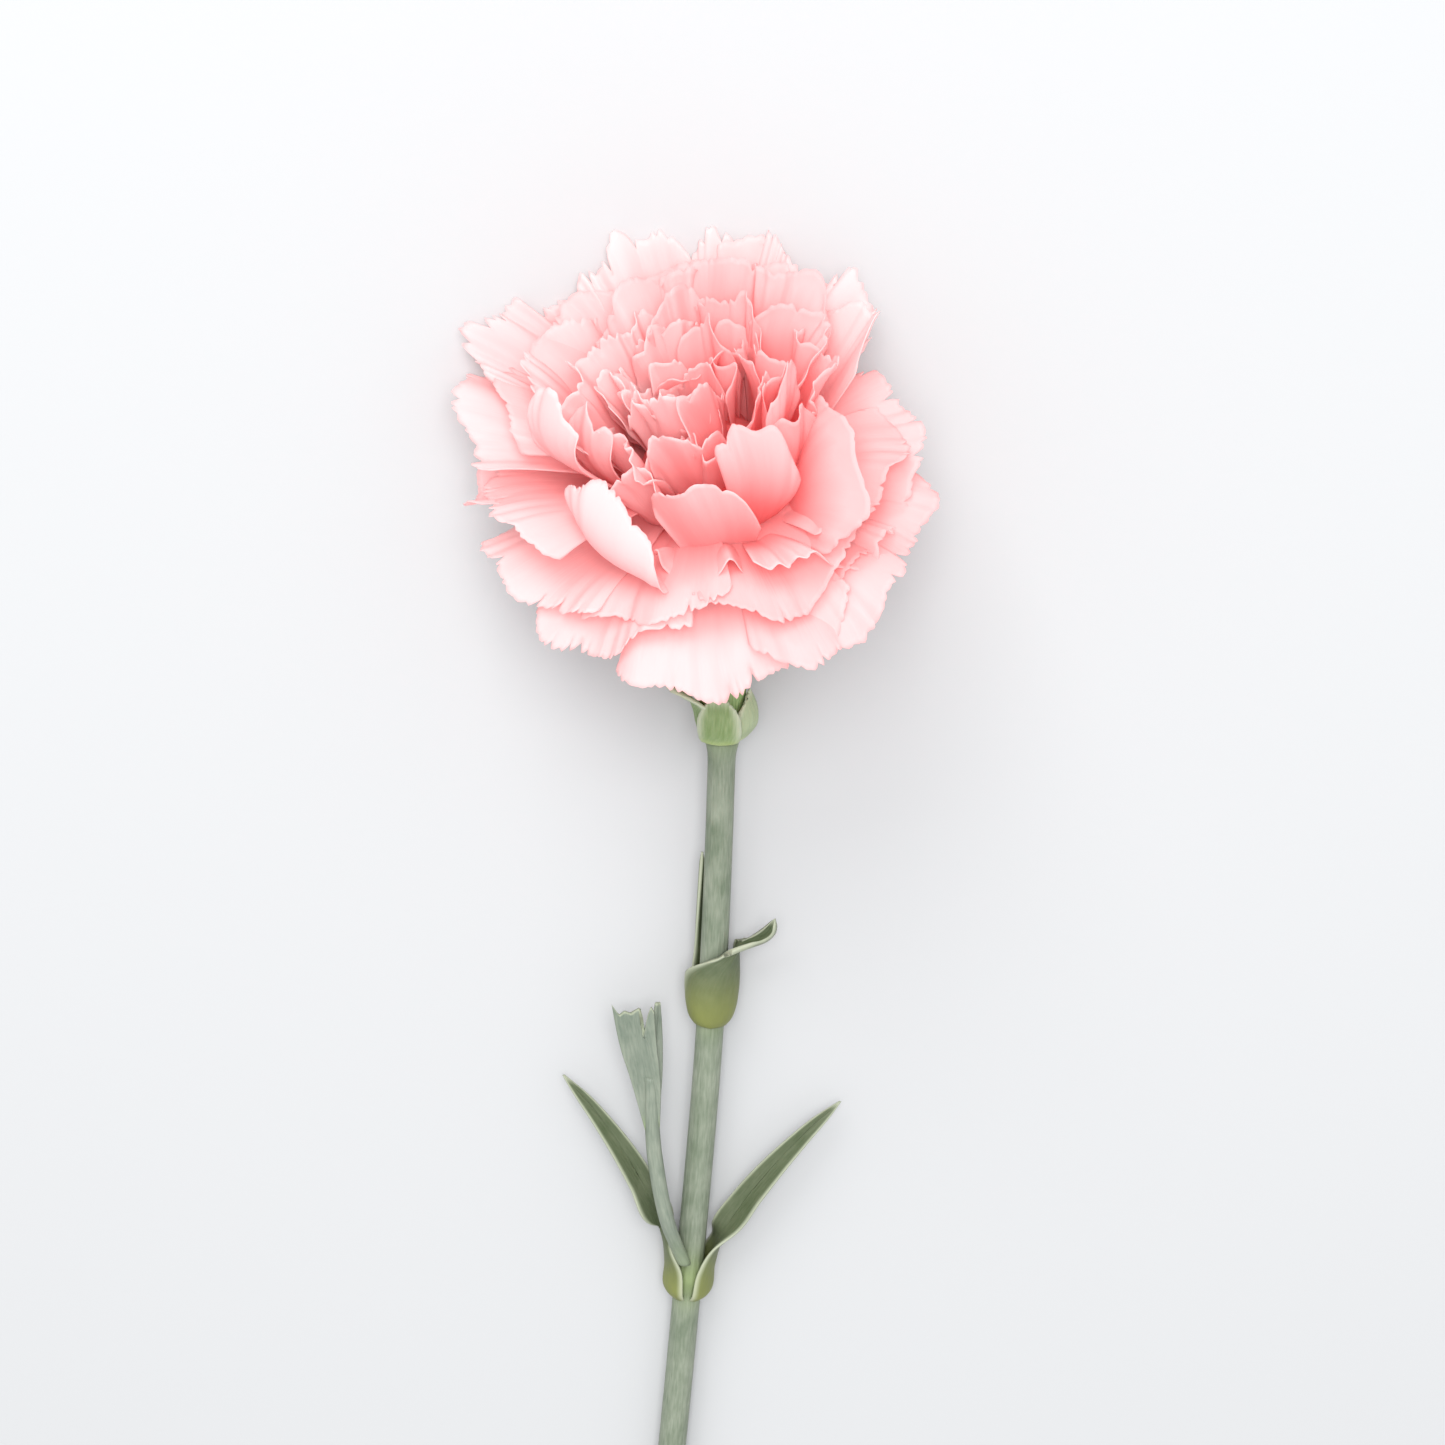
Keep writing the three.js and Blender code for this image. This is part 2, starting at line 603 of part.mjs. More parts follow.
// A long leaf of the middle joint, to the left (-1) or the right (1)
function middleLeaf(hand, reach) {
  const base = MIDDLE_JOINT;
  const facing = hand < 0 ? 180 : 0;
  const rows = [
    sheathRow(base + 2.4, 0, 4.05, facing - 78, facing + 78, 6),
    sheathRow(base - 3, 0, 4.4, facing - 70, facing + 70, 6),
    sheathRow(base - 8, 0, 5.2, facing - 42, facing + 42, 4),
  ];
  const stations = [[14, 7.6, 0.3, 3.1], [22, 11.5, 0.8, 3.0], [30, 16, 1.4, 2.6],
    [37, 21, 1.2, 2.0], [42, 25.5, 0.2, 1.3], [45, 29, -1, 0.4]];
  for (const [distance, beside, above, halfWidth] of stations) {
    const columns = halfWidth > 0.5 ? 4 : 2;
    const row = bladeRow(base - distance * reach, hand * beside * reach, above, halfWidth,
      hand * 55 * (1 - distance / 50), 0.35, columns);
    rows.push(hand < 0 ? row.reverse() : row);
  }
  return sheetGeometry(rows, LEAF_THICKNESS);
}

// Side shoot in the axil of the left leaf: a thin stalk and two leaves with cut tips
function sideShoot() {
  const base = MIDDLE_JOINT;
  const path = [[6, -1.7, 4.3], [15, -5.0, 6.2], [28, -8.4, 5.2], [44, -10.4, 4.0]];
  const radii = [1.2, 1.5, 1.5, 1.3];
  const sides = 8;
  const rings = path.map(([distance, beside, above], k) => {
    const { centre, side, up } = stemFrame(base - distance);
    const ring = [];
    for (let i = 0; i < sides; i++) {
      const angle = (2 * Math.PI * i) / sides;
      ring.push(centre.clone()
        .addScaledVector(side, beside + radii[k] * Math.cos(angle))
        .addScaledVector(up, above + radii[k] * Math.sin(angle)));
    }
    return ring;
  });
  const broad = sheetGeometry([
    bladeRow(base - 34, -9.4, 4.6, 1.2, 0, 0.2, 4),
    bladeRow(base - 44, -10.8, 4.2, 2.0, 0, 0.2, 4),
    bladeRow(base - 54, -13.2, 4.3, 2.7, 0, 0.2, 4),
    cutRow(bladeRow(base - 58.5, -14.2, 4.5, 3.1, 0, 0.15, 4), [1.8, -1.2, -1.6, -0.6, 1.6]),
  ], LEAF_THICKNESS);
  const narrow = sheetGeometry([
    bladeRow(base - 36, -9.2, 4.3, 0.9, -30, 0.2, 2),
    bladeRow(base - 46, -9.6, 3.6, 1.2, -35, 0.2, 2),
    bladeRow(base - 54, -10.0, 3.2, 1.1, -35, 0.2, 2),
    bladeRow(base - 60, -9.9, 3.2, 0.5, -35, 0.1, 2),
  ], LEAF_THICKNESS);
  return fuse([ringGeometry(rings), broad, narrow]);
}

// Moves each point of a row up the stem (towards the bloom) by its own amount
function cutRow(row, amounts) {
  return row.map((p, k) => p.clone().add(new THREE.Vector3(0, amounts[k], 0)));
}

const flower = new THREE.Group();
const pink = new THREE.MeshStandardMaterial({ color: 0xf2a3a8, roughness: 0.6, metalness: 0 });
const calyxGreen = new THREE.MeshStandardMaterial({ color: 0x86a06f, roughness: 0.55, metalness: 0 });
const bractGreen = new THREE.MeshStandardMaterial({ color: 0x8fa96a, roughness: 0.55, metalness: 0 });
const leafGreen = new THREE.MeshStandardMaterial({ color: 0x7f9268, roughness: 0.6, metalness: 0 });
const stemGreen = new THREE.MeshStandardMaterial({ color: 0x74877c, roughness: 0.6, metalness: 0 });

function addPiece(name, geometry, material) {
  const mesh = new THREE.Mesh(geometry, material);
  mesh.name = name;
  flower.add(mesh);
}

addPiece('petals', fuse([...clawGeometries(), ...listPetals().map(petalGeometry)]), pink);
addPiece('calyx', calyxGeometry(), calyxGreen);
const INNER_CLEAR = GAP + 0.6;
const OUTER_CLEAR = 2 * GAP + 1.6;
const bracts = [
  ['bract_left', { round: 166, halfWidth: 58, clear: INNER_CLEAR, height: 13, point: 5.2 }],
  ['bract_right', { round: 14, halfWidth: 54, clear: INNER_CLEAR, height: 10.5, point: 0.8 }],
  ['bract_front', { round: 90, halfWidth: 42, clear: OUTER_CLEAR, height: 12.5, point: 0.2 }],
  ['bract_back', { round: -90, halfWidth: 56, clear: OUTER_CLEAR, height: 10, point: 0.7 }],
];
for (const [name, shape] of bracts) addPiece(name, bractGeometry(shape), bractGreen);
addPiece('stem', stemGeometry(), stemGreen);
addPiece('leaf_upper_front', upperFrontLeaf(), leafGreen);
addPiece('leaf_upper_back', upperBackLeaf(), leafGreen);
addPiece('leaf_middle_left', middleLeaf(-1, 0.92), leafGreen);
addPiece('leaf_middle_right', middleLeaf(1, 0.88), leafGreen);
addPiece('side_shoot', sideShoot(), leafGreen);

export default flower;
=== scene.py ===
import math

import bpy
import numpy as np
from mathutils import Matrix, Vector


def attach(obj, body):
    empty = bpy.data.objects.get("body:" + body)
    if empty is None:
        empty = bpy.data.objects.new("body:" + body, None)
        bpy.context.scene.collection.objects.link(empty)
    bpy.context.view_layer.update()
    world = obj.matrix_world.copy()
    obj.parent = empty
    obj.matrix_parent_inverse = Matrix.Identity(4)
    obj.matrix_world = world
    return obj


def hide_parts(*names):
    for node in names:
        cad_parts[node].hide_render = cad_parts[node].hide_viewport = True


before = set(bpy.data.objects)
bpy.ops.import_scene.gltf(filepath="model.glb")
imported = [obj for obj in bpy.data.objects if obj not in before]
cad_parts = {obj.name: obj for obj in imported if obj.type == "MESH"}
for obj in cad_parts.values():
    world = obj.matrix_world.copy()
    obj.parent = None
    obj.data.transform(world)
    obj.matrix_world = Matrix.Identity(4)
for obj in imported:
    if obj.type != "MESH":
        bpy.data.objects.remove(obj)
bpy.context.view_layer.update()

# Places and sizes that the solids have too, in millimetres and degrees
MM = 0.001  # a millimetre in the scene's metres
RIM = np.array([5.47, 121.63, 16.0])  # where the petals leave the calyx
BLOOM_RISE = 25
BLOOM_LEAN = 12
CALYX_RISE = 11
CALYX_DROP = 43  # from the rim down to the foot
CALYX_HEIGHTS = [0, 1.2, 4, 9, 20, 30, 36, 44]
CALYX_RADII = [2.2, 3.0, 3.7, 4.2, 5.8, 7.4, 8.2, 9.6]
CALYX_WALL = 0.8
CALYX_TUBE = 35
CALYX_TEETH = 5
TOOTH_HEIGHT = 8
GAP = 0.3
STEM_LENGTH = 250
STEM_RADIUS = 2.7
UPPER_JOINT = 53
MIDDLE_JOINT = 112
LOWER_JOINT = 186
JOINTS = (UPPER_JOINT, MIDDLE_JOINT, LOWER_JOINT)
TABLE_SOFTNESS = 5  # petals bend along the floor below this height
FLOOR_CLEARANCE = 0.35  # and stay above this one

# Fineness and thickness of the skins
TOOTH_PITCH = 1.45
TOOTH_COLUMNS = 4  # columns of points to a tooth, whose tip is 2.4 columns from its valley
TOOTH_TIP = 2.4
FEWEST_TEETH = 6
PETAL_ROWS = 28
FOOT_THICKNESS = 0.42
MARGIN_THICKNESS = 0.16
CALYX_THICKNESS = 0.6
BRACT_THICKNESS = 0.7
BRACT_THINNING = 0.42  # at its margin
LEAF_THICKNESS = 0.75
LEAF_COLUMNS = 33

# The ball of claws inside the petals
CORE_RADIUS = 11.2
CORE_RISE = 11  # from the rim to its middle
CLAW_CLEARANCE = 0.5  # between the claws and the calyx

# The camera: pixels of the square photograph, and how many of them cover a millimetre
PHOTO_SIDE = 1445
PIXELS_PER_MM = 5.85
RIM_PIXEL = (722, 523)
CAMERA_RISE = 70
CAMERA_DISTANCE = 500
SENSOR_WIDTH = 36

# Kinds of petals from the outside in: where they start beside and along the bloom's axis, the
# cup across the petal, the waves that neighbours share, the petal's own wave, its pleats and
# their number, its fine crinkles, the depth of its teeth, the fall of its shoulders, how far
# one side is tucked under its neighbour, and how far its colour fades towards the margin
KINDS = {
    "outer": dict(beside=3, along=0, cup=0.003, wave=2.2, own=1.4, pleat=0.5, pleats=3.0,
                  crinkle=0.2, tooth=1.7, fall=0.16, tuck=1.6, fade=1),
    "back": dict(beside=3, along=0, cup=0.003, wave=1.8, own=1.0, pleat=1.2, pleats=3.6,
                 crinkle=0.4, tooth=2.0, fall=0.16, tuck=1.6, fade=1),
    "front": dict(beside=3, along=3, cup=0.008, wave=2.2, own=1.6, pleat=0.6, pleats=2.6,
                  crinkle=0.2, tooth=1.4, fall=0.16, tuck=1.6, fade=1),
    "ruffle": dict(beside=4, along=3, cup=0.02, wave=1.5, own=2.4, pleat=1.9, pleats=2.4,
                   crinkle=0.5, tooth=0.6, fall=0.12, tuck=1.2, fade=1),
    "collar": dict(beside=4, along=2, cup=0.032, wave=2.0, own=1.6, pleat=0.9, pleats=3.0,
                   crinkle=0.4, tooth=1.4, fall=0.16, tuck=1.4, fade=0.95),
    "smooth": dict(beside=4, along=2, cup=0.03, wave=0.8, own=0.9, pleat=0.35, pleats=2.0,
                   crinkle=0.15, tooth=0.7, fall=0.2, tuck=1.2, fade=0.95),
    "belly": dict(beside=4, along=2, cup=-0.02, wave=0.5, own=0.7, pleat=0.3, pleats=2.0,
                  crinkle=0.2, tooth=1.0, fall=0.2, tuck=1.2, fade=1),
    "scroll": dict(beside=4, along=2, cup=0.03, wave=0.5, own=0.6, pleat=0.3, pleats=2.0,
                   crinkle=0.2, tooth=0.9, fall=0.42, tuck=0.6, fade=1),
    "inner": dict(beside=3, along=2, cup=0.05, wave=2.2, own=2.0, pleat=1.0, pleats=2.5,
                  crinkle=0.5, tooth=1.8, fall=0.18, tuck=1.2, fade=0.88),
    "swirl": dict(beside=2, along=3, cup=0.09, wave=1.3, own=1.5, pleat=0.7, pleats=1.6,
                  crinkle=0.3, tooth=1.3, fall=0.2, tuck=1.0, fade=0.9),
    "heart": dict(beside=1, along=3, cup=0.14, wave=1.0, own=1.1, pleat=0.5, pleats=1.3,
                  crinkle=0.2, tooth=1.2, fall=0.2, tuck=0.8, fade=0.9),
}

# Petals placed one by one: kind, place round the axis (-90 is the upper side, 90 the floor
# side), length, half spread, slope off the axis at the foot, the middle and the margin, how
# much more one side slopes than the other, the roll of the margin, and how pale the petal is.
# The paleness is partly the petal's own tone and partly painted light: higher for petals on
# the left as a painted reflection, and lower for some petals in the bloom's hollows as painted shade.
PLACED = [
    ("back", 103, 51, 15, 22, 50, 54, 0, 0.5, 0.95),
    ("back", 78, 48.5, 15, 22, 50, 54, 0, 0.5, 0.9),
    ("back", 60, 48, 14, 22, 50, 54, 0, 0.5, 0.75),
    ("back", 44, 45, 14, 24, 58, 64, 0, 1.0, 0.8),
    ("back", 137, 54, 16, 22, 60, 66, 0, 0.5, 0.8),
    ("outer", 161, 49, 21, 24, 66, 74, 0, 0.5, 0.7),
    ("outer", -181, 42.5, 25, 28, 76, 80, 0, 0.5, 0.35),
    ("outer", -157, 40, 33, 34, 86, 94, 0, 1.0, 0.7),
    ("outer", -124, 39.5, 30, 36, 92, 104, 0, 1.5, 0.6),
    ("outer", -84, 44, 33, 40, 98, 114, 0, 2.5, 0.55),
    ("outer", -61, 46, 21, 38, 96, 102, 0, 1.0, 0.3),
    ("outer", -32, 40, 26, 34, 88, 96, 0, 1.0, 0.2),
    ("outer", -4, 38.5, 28, 30, 74, 82, -12, 0.5, 0.3),
    ("front", 94, 40, 26, 20, 42, 44, 0, 1.0, 0.4),
    ("front", 62, 40, 22, 22, 44, 46, 0, 1.0, 0.4),
    ("front", 126, 42, 24, 22, 48, 52, 0, 1.0, 0.5),
    ("front", 154, 41, 24, 26, 58, 62, 0, 1.0, 0.5),
    ("front", -164, 39.5, 28, 36, 70, 74, 0, 1.0, 0.6),
    ("front", -114, 35, 33, 42, 86, 96, 0, 1.5, 0.55),
    ("front", -64, 37, 33, 40, 84, 90, 0, 1.5, 0.2),
    ("front", -24, 36, 28, 38, 74, 80, 0, 1.0, 0.2),
    ("ruffle", -86, 26, 30, 56, 68, 90, 3, 0.5, 0.45),
    ("ruffle", -53, 35, 24, 56, 76, 88, 18, 0.5, 0.45),
    ("belly", -41, 41, 15.5, 59, 42, 68, -29, 0, 0.2),
    ("scroll", -122, 44, 23, 74, 51, -58, 21, 0, 0.85),
    ("smooth", -164, 45, 11, 46, 36, -30, -5, 0, 0.95),
    ("smooth", 22, 41, 14, 52, 44, 40, 0, 0, 0.75),
    ("collar", 46, 41, 24, 44, 32, 26, 0, 2.0, 0.1),
    ("collar", 78, 40, 26, 44, 28, 20, 0, 2.0, 0.1),
    ("collar", 110, 39, 26, 46, 30, 22, 0, 2.0, 0.3),
    ("collar", 144, 40, 28, 48, 34, 26, 0, 2.0, 0.65),
    ("smooth", -63, 39, 10.5, 74, 25, -26, 19, 0, 0.1),
    ("smooth", 100, 31, 20, 20, 2, -36, 0, 0, 0.3),
    ("smooth", 10, 33, 14, 34, 10, -6, 0, 0, 0.0),
    ("inner", 4, 38, 20, 52, 30, 14, 0, 1.5, 0.05),
    ("inner", 28, 38, 20, 44, 24, 14, 0, 1.5, 0.0),
    ("inner", 58, 37, 20, 38, 20, 8, 0, 1.5, 0.0),
    ("inner", 92, 36, 20, 38, 20, 8, 0, 1.5, 0.1),
    ("inner", 128, 36, 20, 38, 20, 8, 0, 1.5, 0.6),
    ("inner", 164, 36, 20, 44, 22, 12, 0, 1.5, 0.8),
    ("smooth", -157, 37, 10, 49, 27, -28, -3, 0, 0.8),
    ("inner", -122, 29, 22, 62, 26, 6, 0, 1.5, 0.7),
    ("smooth", -84, 38, 17, 107, 16, 16, 12, 0, 0.45),
]

# Fine petals that fill the bowl between the wall of upright petals and the heart
FILLING = [
    ("smooth", -38, 36, 9.5, 67, 27, 2, 7, 0, 0.0),
    ("inner", -140, 32, 18, 44, 18, 6, 0, 1.0, 0.8),
    ("inner", -102, 30, 18, 42, 16, 2, 0, 1.0, 0.6),
    ("smooth", -38, 40, 10, 41, 25, 7, -2, 0, 0.0),
]

# The small petals of the middle, in rings: kind, count, place of the first, length, half
# spread, the three slopes, how much these vary, the roll and the paleness
RINGS = [
    ("swirl", 12, -60, 33, 14, 34, 14, 4, 14, 1.0, 0.35),
    ("heart", 9, -95, 28, 12, 18, 8, -4, 14, 0.5, 0.4),
]
LEFT_PAINTED_REFLECTION = 0.6  # painted reflection: how much paler the small petals are made to the left, and deeper to the right


def ease(x):
    """Rises smoothly from 0 to 1 as x does, and stays level outside"""
    c = np.clip(x, 0, 1)
    return c * c * (3 - 2 * c)


def draw(seed, k):
    """A repeatable draw between 0 and 1: the k-th one of a seed"""
    x = np.sin(seed * 12.9898 + k * 78.233) * 43758.5453
    return x - np.floor(x)


def centred_draw(seed, k):
    """A repeatable draw between -0.5 and 0.5"""
    return draw(seed, k) - 0.5


def phase(petal, k):
    """Where one of a petal's waves starts, drawn for the petal"""
    return draw(petal["seed"], k) * 6


def fold_wave(x):
    """A wave with straight slopes and tight turns"""
    sharpness = 0.96
    return np.arcsin(sharpness * np.sin(x)) / math.asin(sharpness)


def shared_wave(turned, reach):
    """Waves round the bloom that neighbouring petals share, so that they nest"""
    return (0.7 * np.sin(7 * turned + 1.3 + 0.8 * np.sin(2 * turned))
            + 0.3 * np.sin(12 * turned + 4.1 + 1.2 * reach))


def midline(petal, q, side):
    """Radius, height and slope of a petal at shares q of its length, for each column"""
    shares = np.linspace(0, 1.2, 241)
    foot, middle, margin = np.radians(petal["slope"])
    slope = foot + (middle - foot) * ease(shares / 0.5)
    slope = slope + (margin - middle) * ease((shares - 0.55) / 0.45)
    slope = slope[:, None] + math.radians(petal["skew"]) * side * ease(shares / 0.6)[:, None]
    step = petal["length"] * (shares[1] - shares[0])
    radius = np.cumsum(np.sin(slope), axis=0) * step
    height = np.cumsum(np.cos(slope), axis=0) * step
    columns = range(q.shape[1])
    return [np.stack([np.interp(q[:, k], shares, table[:, k]) for k in columns], 1)
            for table in (radius, height, slope)]


def tooth_cut(petal, count):
    """How far each column of a petal's margin is cut back: deep in the valleys between the
    teeth, deeper in a few of them, and little at the tips"""
    k = np.arange(count + 1)
    seed = petal["seed"] * 1.7 + 0.37
    valley = (0.2 + 0.8 * draw(seed, k)) * (0.75 + 0.25 * np.sin(k * 0.8 + seed))
    slit = draw(seed + 3.1, k) > 0.86
    valley += np.where(slit, 0.9, 0)
    tip = 0.3 * draw(seed + 5.3, k)
    columns = np.arange(TOOTH_COLUMNS * count + 1)
    starts = TOOTH_COLUMNS * k
    marks = np.sort(np.concatenate([starts, starts[:-1] + TOOTH_TIP]))
    depths = np.zeros(len(marks))
    depths[0::2] = valley
    depths[1::2] = tip[:-1]
    return petal["tooth"] * np.interp(columns, marks, depths)


def petal_spans(petal, teeth, reach, side):
    """How far a petal's points lie across and along it, with its shoulders, lobes and teeth"""
    lobes = 0.035 * fold_wave(side * 3.6 + phase(petal, 4))
    lobes = lobes + 0.022 * np.sin(side * 9 + phase(petal, 5))
    length = 1 - petal["fall"] * np.abs(side) ** 2.6 + lobes * ease((reach - 0.5) / 0.5)
    length = petal["length"] * length - tooth_cut(petal, teeth)[None, :] * ease((reach - 0.9) / 0.1)
    spread = math.radians(petal["spread"]) * (0.25 + 0.75 * ease(reach / 0.6))
    return reach * length * np.sin(spread * side), reach * length * np.cos(spread * side)


def petal_lift(petal, reach, side):
    """How far waves, pleats and crinkles lift a petal's points off its inner face, less the
    roll of its margin"""
    turned = np.radians(petal["round"] + side * petal["spread"])
    lift = petal["wave"] * reach ** 2.2 * shared_wave(turned, reach)
    lift = lift + petal["own"] * reach ** 3 * np.sin(math.pi * 1.6 * side + phase(petal, 6))
    lift = lift + petal["tuck"] * side * ease(reach / 0.5)
    uneven = side + 0.12 * np.sin(5 * side + phase(petal, 9))
    pleats = fold_wave(math.pi * petal["pleats"] * uneven + phase(petal, 10))
    depth = 0.7 + 0.3 * np.sin(4 * side + phase(petal, 11))
    lift = lift + petal["pleat"] * reach ** 2.5 * pleats * depth
    crinkles = np.sin(math.pi * petal["pleats"] * 2.7 * uneven + phase(petal, 12) + 1.5 * reach)
    lift = lift + petal["crinkle"] * ease((reach - 0.6) / 0.4) ** 1.5 * crinkles
    return lift - petal["roll"] * ease((reach - 0.72) / 0.28) ** 2


def petal_points(petal):
    """Points of a petal in millimetres: rows from its foot to its margin, columns across"""
    teeth = int(round(2 * math.radians(petal["spread"]) * petal["length"] / TOOTH_PITCH))
    teeth = max(teeth, FEWEST_TEETH)
    side = np.linspace(-1, 1, TOOTH_COLUMNS * teeth + 1)[None, :]
    spacing = teeth * 1.3
    side = side + 0.4 / spacing * np.sin(spacing * side) * (1 - side ** 2)
    reach = (np.linspace(0, 1, PETAL_ROWS + 1) ** 0.85)[:, None]
    across, along = petal_spans(petal, teeth, reach, side)
    radius, height, slope = midline(petal, along / petal["length"], side)

    cup = petal["cup"]
    lift = petal_lift(petal, reach, side) + (1 - np.cos(cup * across)) / cup
    x = np.sin(cup * across) / cup
    r = petal["beside"] + radius - np.cos(slope) * lift
    w = height + np.sin(slope) * lift
    twist = math.radians(petal["lean"]) * reach
    x, w = (x * np.cos(twist) + w * np.sin(twist), w * np.cos(twist) - 0.6 * x * np.sin(twist))
    place = math.radians(petal["round"])
    a = r * math.cos(place) - x * math.sin(place)
    b = r * math.sin(place) + x * math.cos(place)
    return clear_floor(round_bloom(a, b, w + petal["along"])), reach, side


def bloom_axes():
    """The bloom's own directions: right, towards the floor, and out along its axis"""
    rise = math.radians(BLOOM_RISE)
    lean = math.radians(BLOOM_LEAN)
    right = np.array([1.0, 0, 0])
    back = np.array([0, math.sin(rise), -math.cos(rise)])
    axis = np.array([0, math.cos(rise), math.sin(rise)])
    leaning_right = right * math.cos(lean) + axis * math.sin(lean)
    leaning_axis = axis * math.cos(lean) - right * math.sin(lean)
    return leaning_right, back, leaning_axis


BLOOM_RIGHT, BLOOM_BACK, BLOOM_AXIS = bloom_axes()


def round_bloom(a, b, w):
    """Points that lie a to the right, b towards the floor and w outwards from the rim"""
    return RIM + a[..., None] * BLOOM_RIGHT + b[..., None] * BLOOM_BACK + w[..., None] * BLOOM_AXIS


def clear_floor(points):
    """Bends points along the floor where they would go into it"""
    depth = TABLE_SOFTNESS - FLOOR_CLEARANCE
    z = points[..., 2]
    bent = FLOOR_CLEARANCE + depth * np.exp(np.minimum((z - TABLE_SOFTNESS) / depth, 0))
    points[..., 2] = np.where(z < TABLE_SOFTNESS, bent, z)
    return points


def list_petals():
    """Every petal, with small differences drawn from its number"""
    rows = PLACED + FILLING
    ring_seed = 60
    for kind, count, first, length, spread, foot, middle, margin, vary, roll, pale in RINGS:
        for i in range(count):
            ring_seed += 1
            place = first + 360 * i / count + centred_draw(ring_seed, 20) * 20
            own_length = length * (1 + 0.12 * centred_draw(ring_seed, 21))
            own_spread = spread * (1 + 0.3 * centred_draw(ring_seed, 22))
            slopes = [v + centred_draw(ring_seed, 23) * vary for v in (foot, middle, margin)]
            # paler on the left and deeper on the right: a painted reflection
            tint = pale - LEFT_PAINTED_REFLECTION * math.cos(math.radians(place))
            rows.append((kind, place, own_length, own_spread, *slopes, 0, roll, max(tint, 0)))
    petals = []
    for i, (kind, place, length, spread, foot, middle, margin, skew, roll, pale) in enumerate(rows):
        seed = i + 2
        petal = dict(KINDS[kind], kind=kind, seed=seed, round=place, length=length, spread=spread,
                     slope=(foot, middle, margin), skew=skew, roll=roll, pale=pale,
                     lean=centred_draw(seed, 26) * 14)
        petal["wave"] *= 1 + 0.6 * centred_draw(seed, 24)
        petal["pleat"] *= 0.6 + 0.8 * draw(seed, 28)
        petals.append(petal)
    return petals


def shell(points, thickness, values, closed=False):
    """A thin closed skin round a grid of points, whose columns meet where it is closed. Values
    are numbers that its points carry, to which `outer` is added: 1 on one face, 0 on the other."""
    rows, columns = points.shape[:2]
    if closed:
        ahead = np.roll(points, -1, axis=1) - np.roll(points, 1, axis=1)
    else:
        ahead = np.gradient(points, axis=1)
    normal = np.cross(ahead, np.gradient(points, axis=0))
    normal /= np.maximum(np.linalg.norm(normal, axis=-1, keepdims=True), 1e-9)
    half = np.broadcast_to(np.asarray(thickness, float), (rows, columns))[..., None] / 2
    over = (points + normal * half).reshape(-1, 3)
    under = (points - normal * half).reshape(-1, 3)
    verts = np.concatenate([over, under])
    count = rows * columns
    index = np.arange(count).reshape(rows, columns)
    right = np.roll(index, -1, axis=1) if closed else index[:, 1:]
    left = index if closed else index[:, :-1]
    quads = np.stack([left[:-1], right[:-1], right[1:], left[1:]], -1).reshape(-1, 4)
    if closed:
        borders = [index[0], index[-1][::-1]]
        loops = [list(zip(b, np.roll(b, -1))) for b in borders]
    else:
        ring = np.concatenate([index[0], index[1:, -1], index[-1, -2::-1], index[-2:0:-1, 0]])
        loops = [list(zip(ring, np.roll(ring, -1)))]
    rim = [(b, a, a + count, b + count) for loop in loops for a, b in loop]
    faces = np.concatenate([quads, quads[:, ::-1] + count, np.array(rim)])
    carried = {}
    for key, value in values.items():
        carried[key] = np.tile(np.broadcast_to(value, (rows, columns)).reshape(-1), 2)
    carried["outer"] = np.repeat([1.0, 0.0], count)
    return verts, faces, carried


def tube(rings, values):
    """A closed body through rings of points, with a point in the middle of each end"""
    rows, columns = rings.shape[:2]
    index = np.arange(rows * columns).reshape(rows, columns)
    right = np.roll(index, -1, axis=1)
    quads = np.stack([index[:-1], right[:-1], right[1:], index[1:]], -1).reshape(-1, 4)
    ends = np.stack([rings[0].mean(0), rings[-1].mean(0)])
    verts = np.concatenate([rings.reshape(-1, 3), ends])
    first, last = rows * columns, rows * columns + 1
    caps = [(first, b, a) for a, b in zip(index[0], right[0])]
    caps += [(last, a, b) for a, b in zip(index[-1], right[-1])]
    faces = quads.tolist() + caps
    carried = {}
    for key, value in values.items():
        full = np.broadcast_to(value, (rows, columns))
        carried[key] = np.concatenate([full.reshape(-1), [full[0].mean(), full[-1].mean()]])
    carried["outer"] = np.zeros(len(verts))
    return verts, faces, carried


def add_piece(name, parts, material, node):
    """One object from several skins and bodies, riding on the flower in place of its solid"""
    verts, faces = [], []
    carried = {}
    for part_verts, part_faces, part_values in parts:
        start = sum(len(v) for v in verts)
        verts.append(part_verts)
        faces += [[i + start for i in face] for face in np.asarray(part_faces, dtype=object).tolist()]
        for key, value in part_values.items():
            carried.setdefault(key, []).append(value)
    mesh = bpy.data.meshes.new(name)
    mesh.from_pydata((np.concatenate(verts) * MM).tolist(), [], faces)
    for key, value in carried.items():
        mesh.attributes.new(key, "FLOAT", "POINT").data.foreach_set("value", np.concatenate(value))
    mesh.polygons.foreach_set("use_smooth", [True] * len(mesh.polygons))
    mesh.materials.append(material)
    piece = bpy.data.objects.new(name, mesh)
    bpy.context.scene.collection.objects.link(piece)
    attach(piece, "root")
    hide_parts(node)


# Curves and rows of points for the green parts

def round_angles(count):
    """Angles of so many points round a body, one to a column"""
    return np.linspace(0, 2 * math.pi, count + 1)[None, :-1]


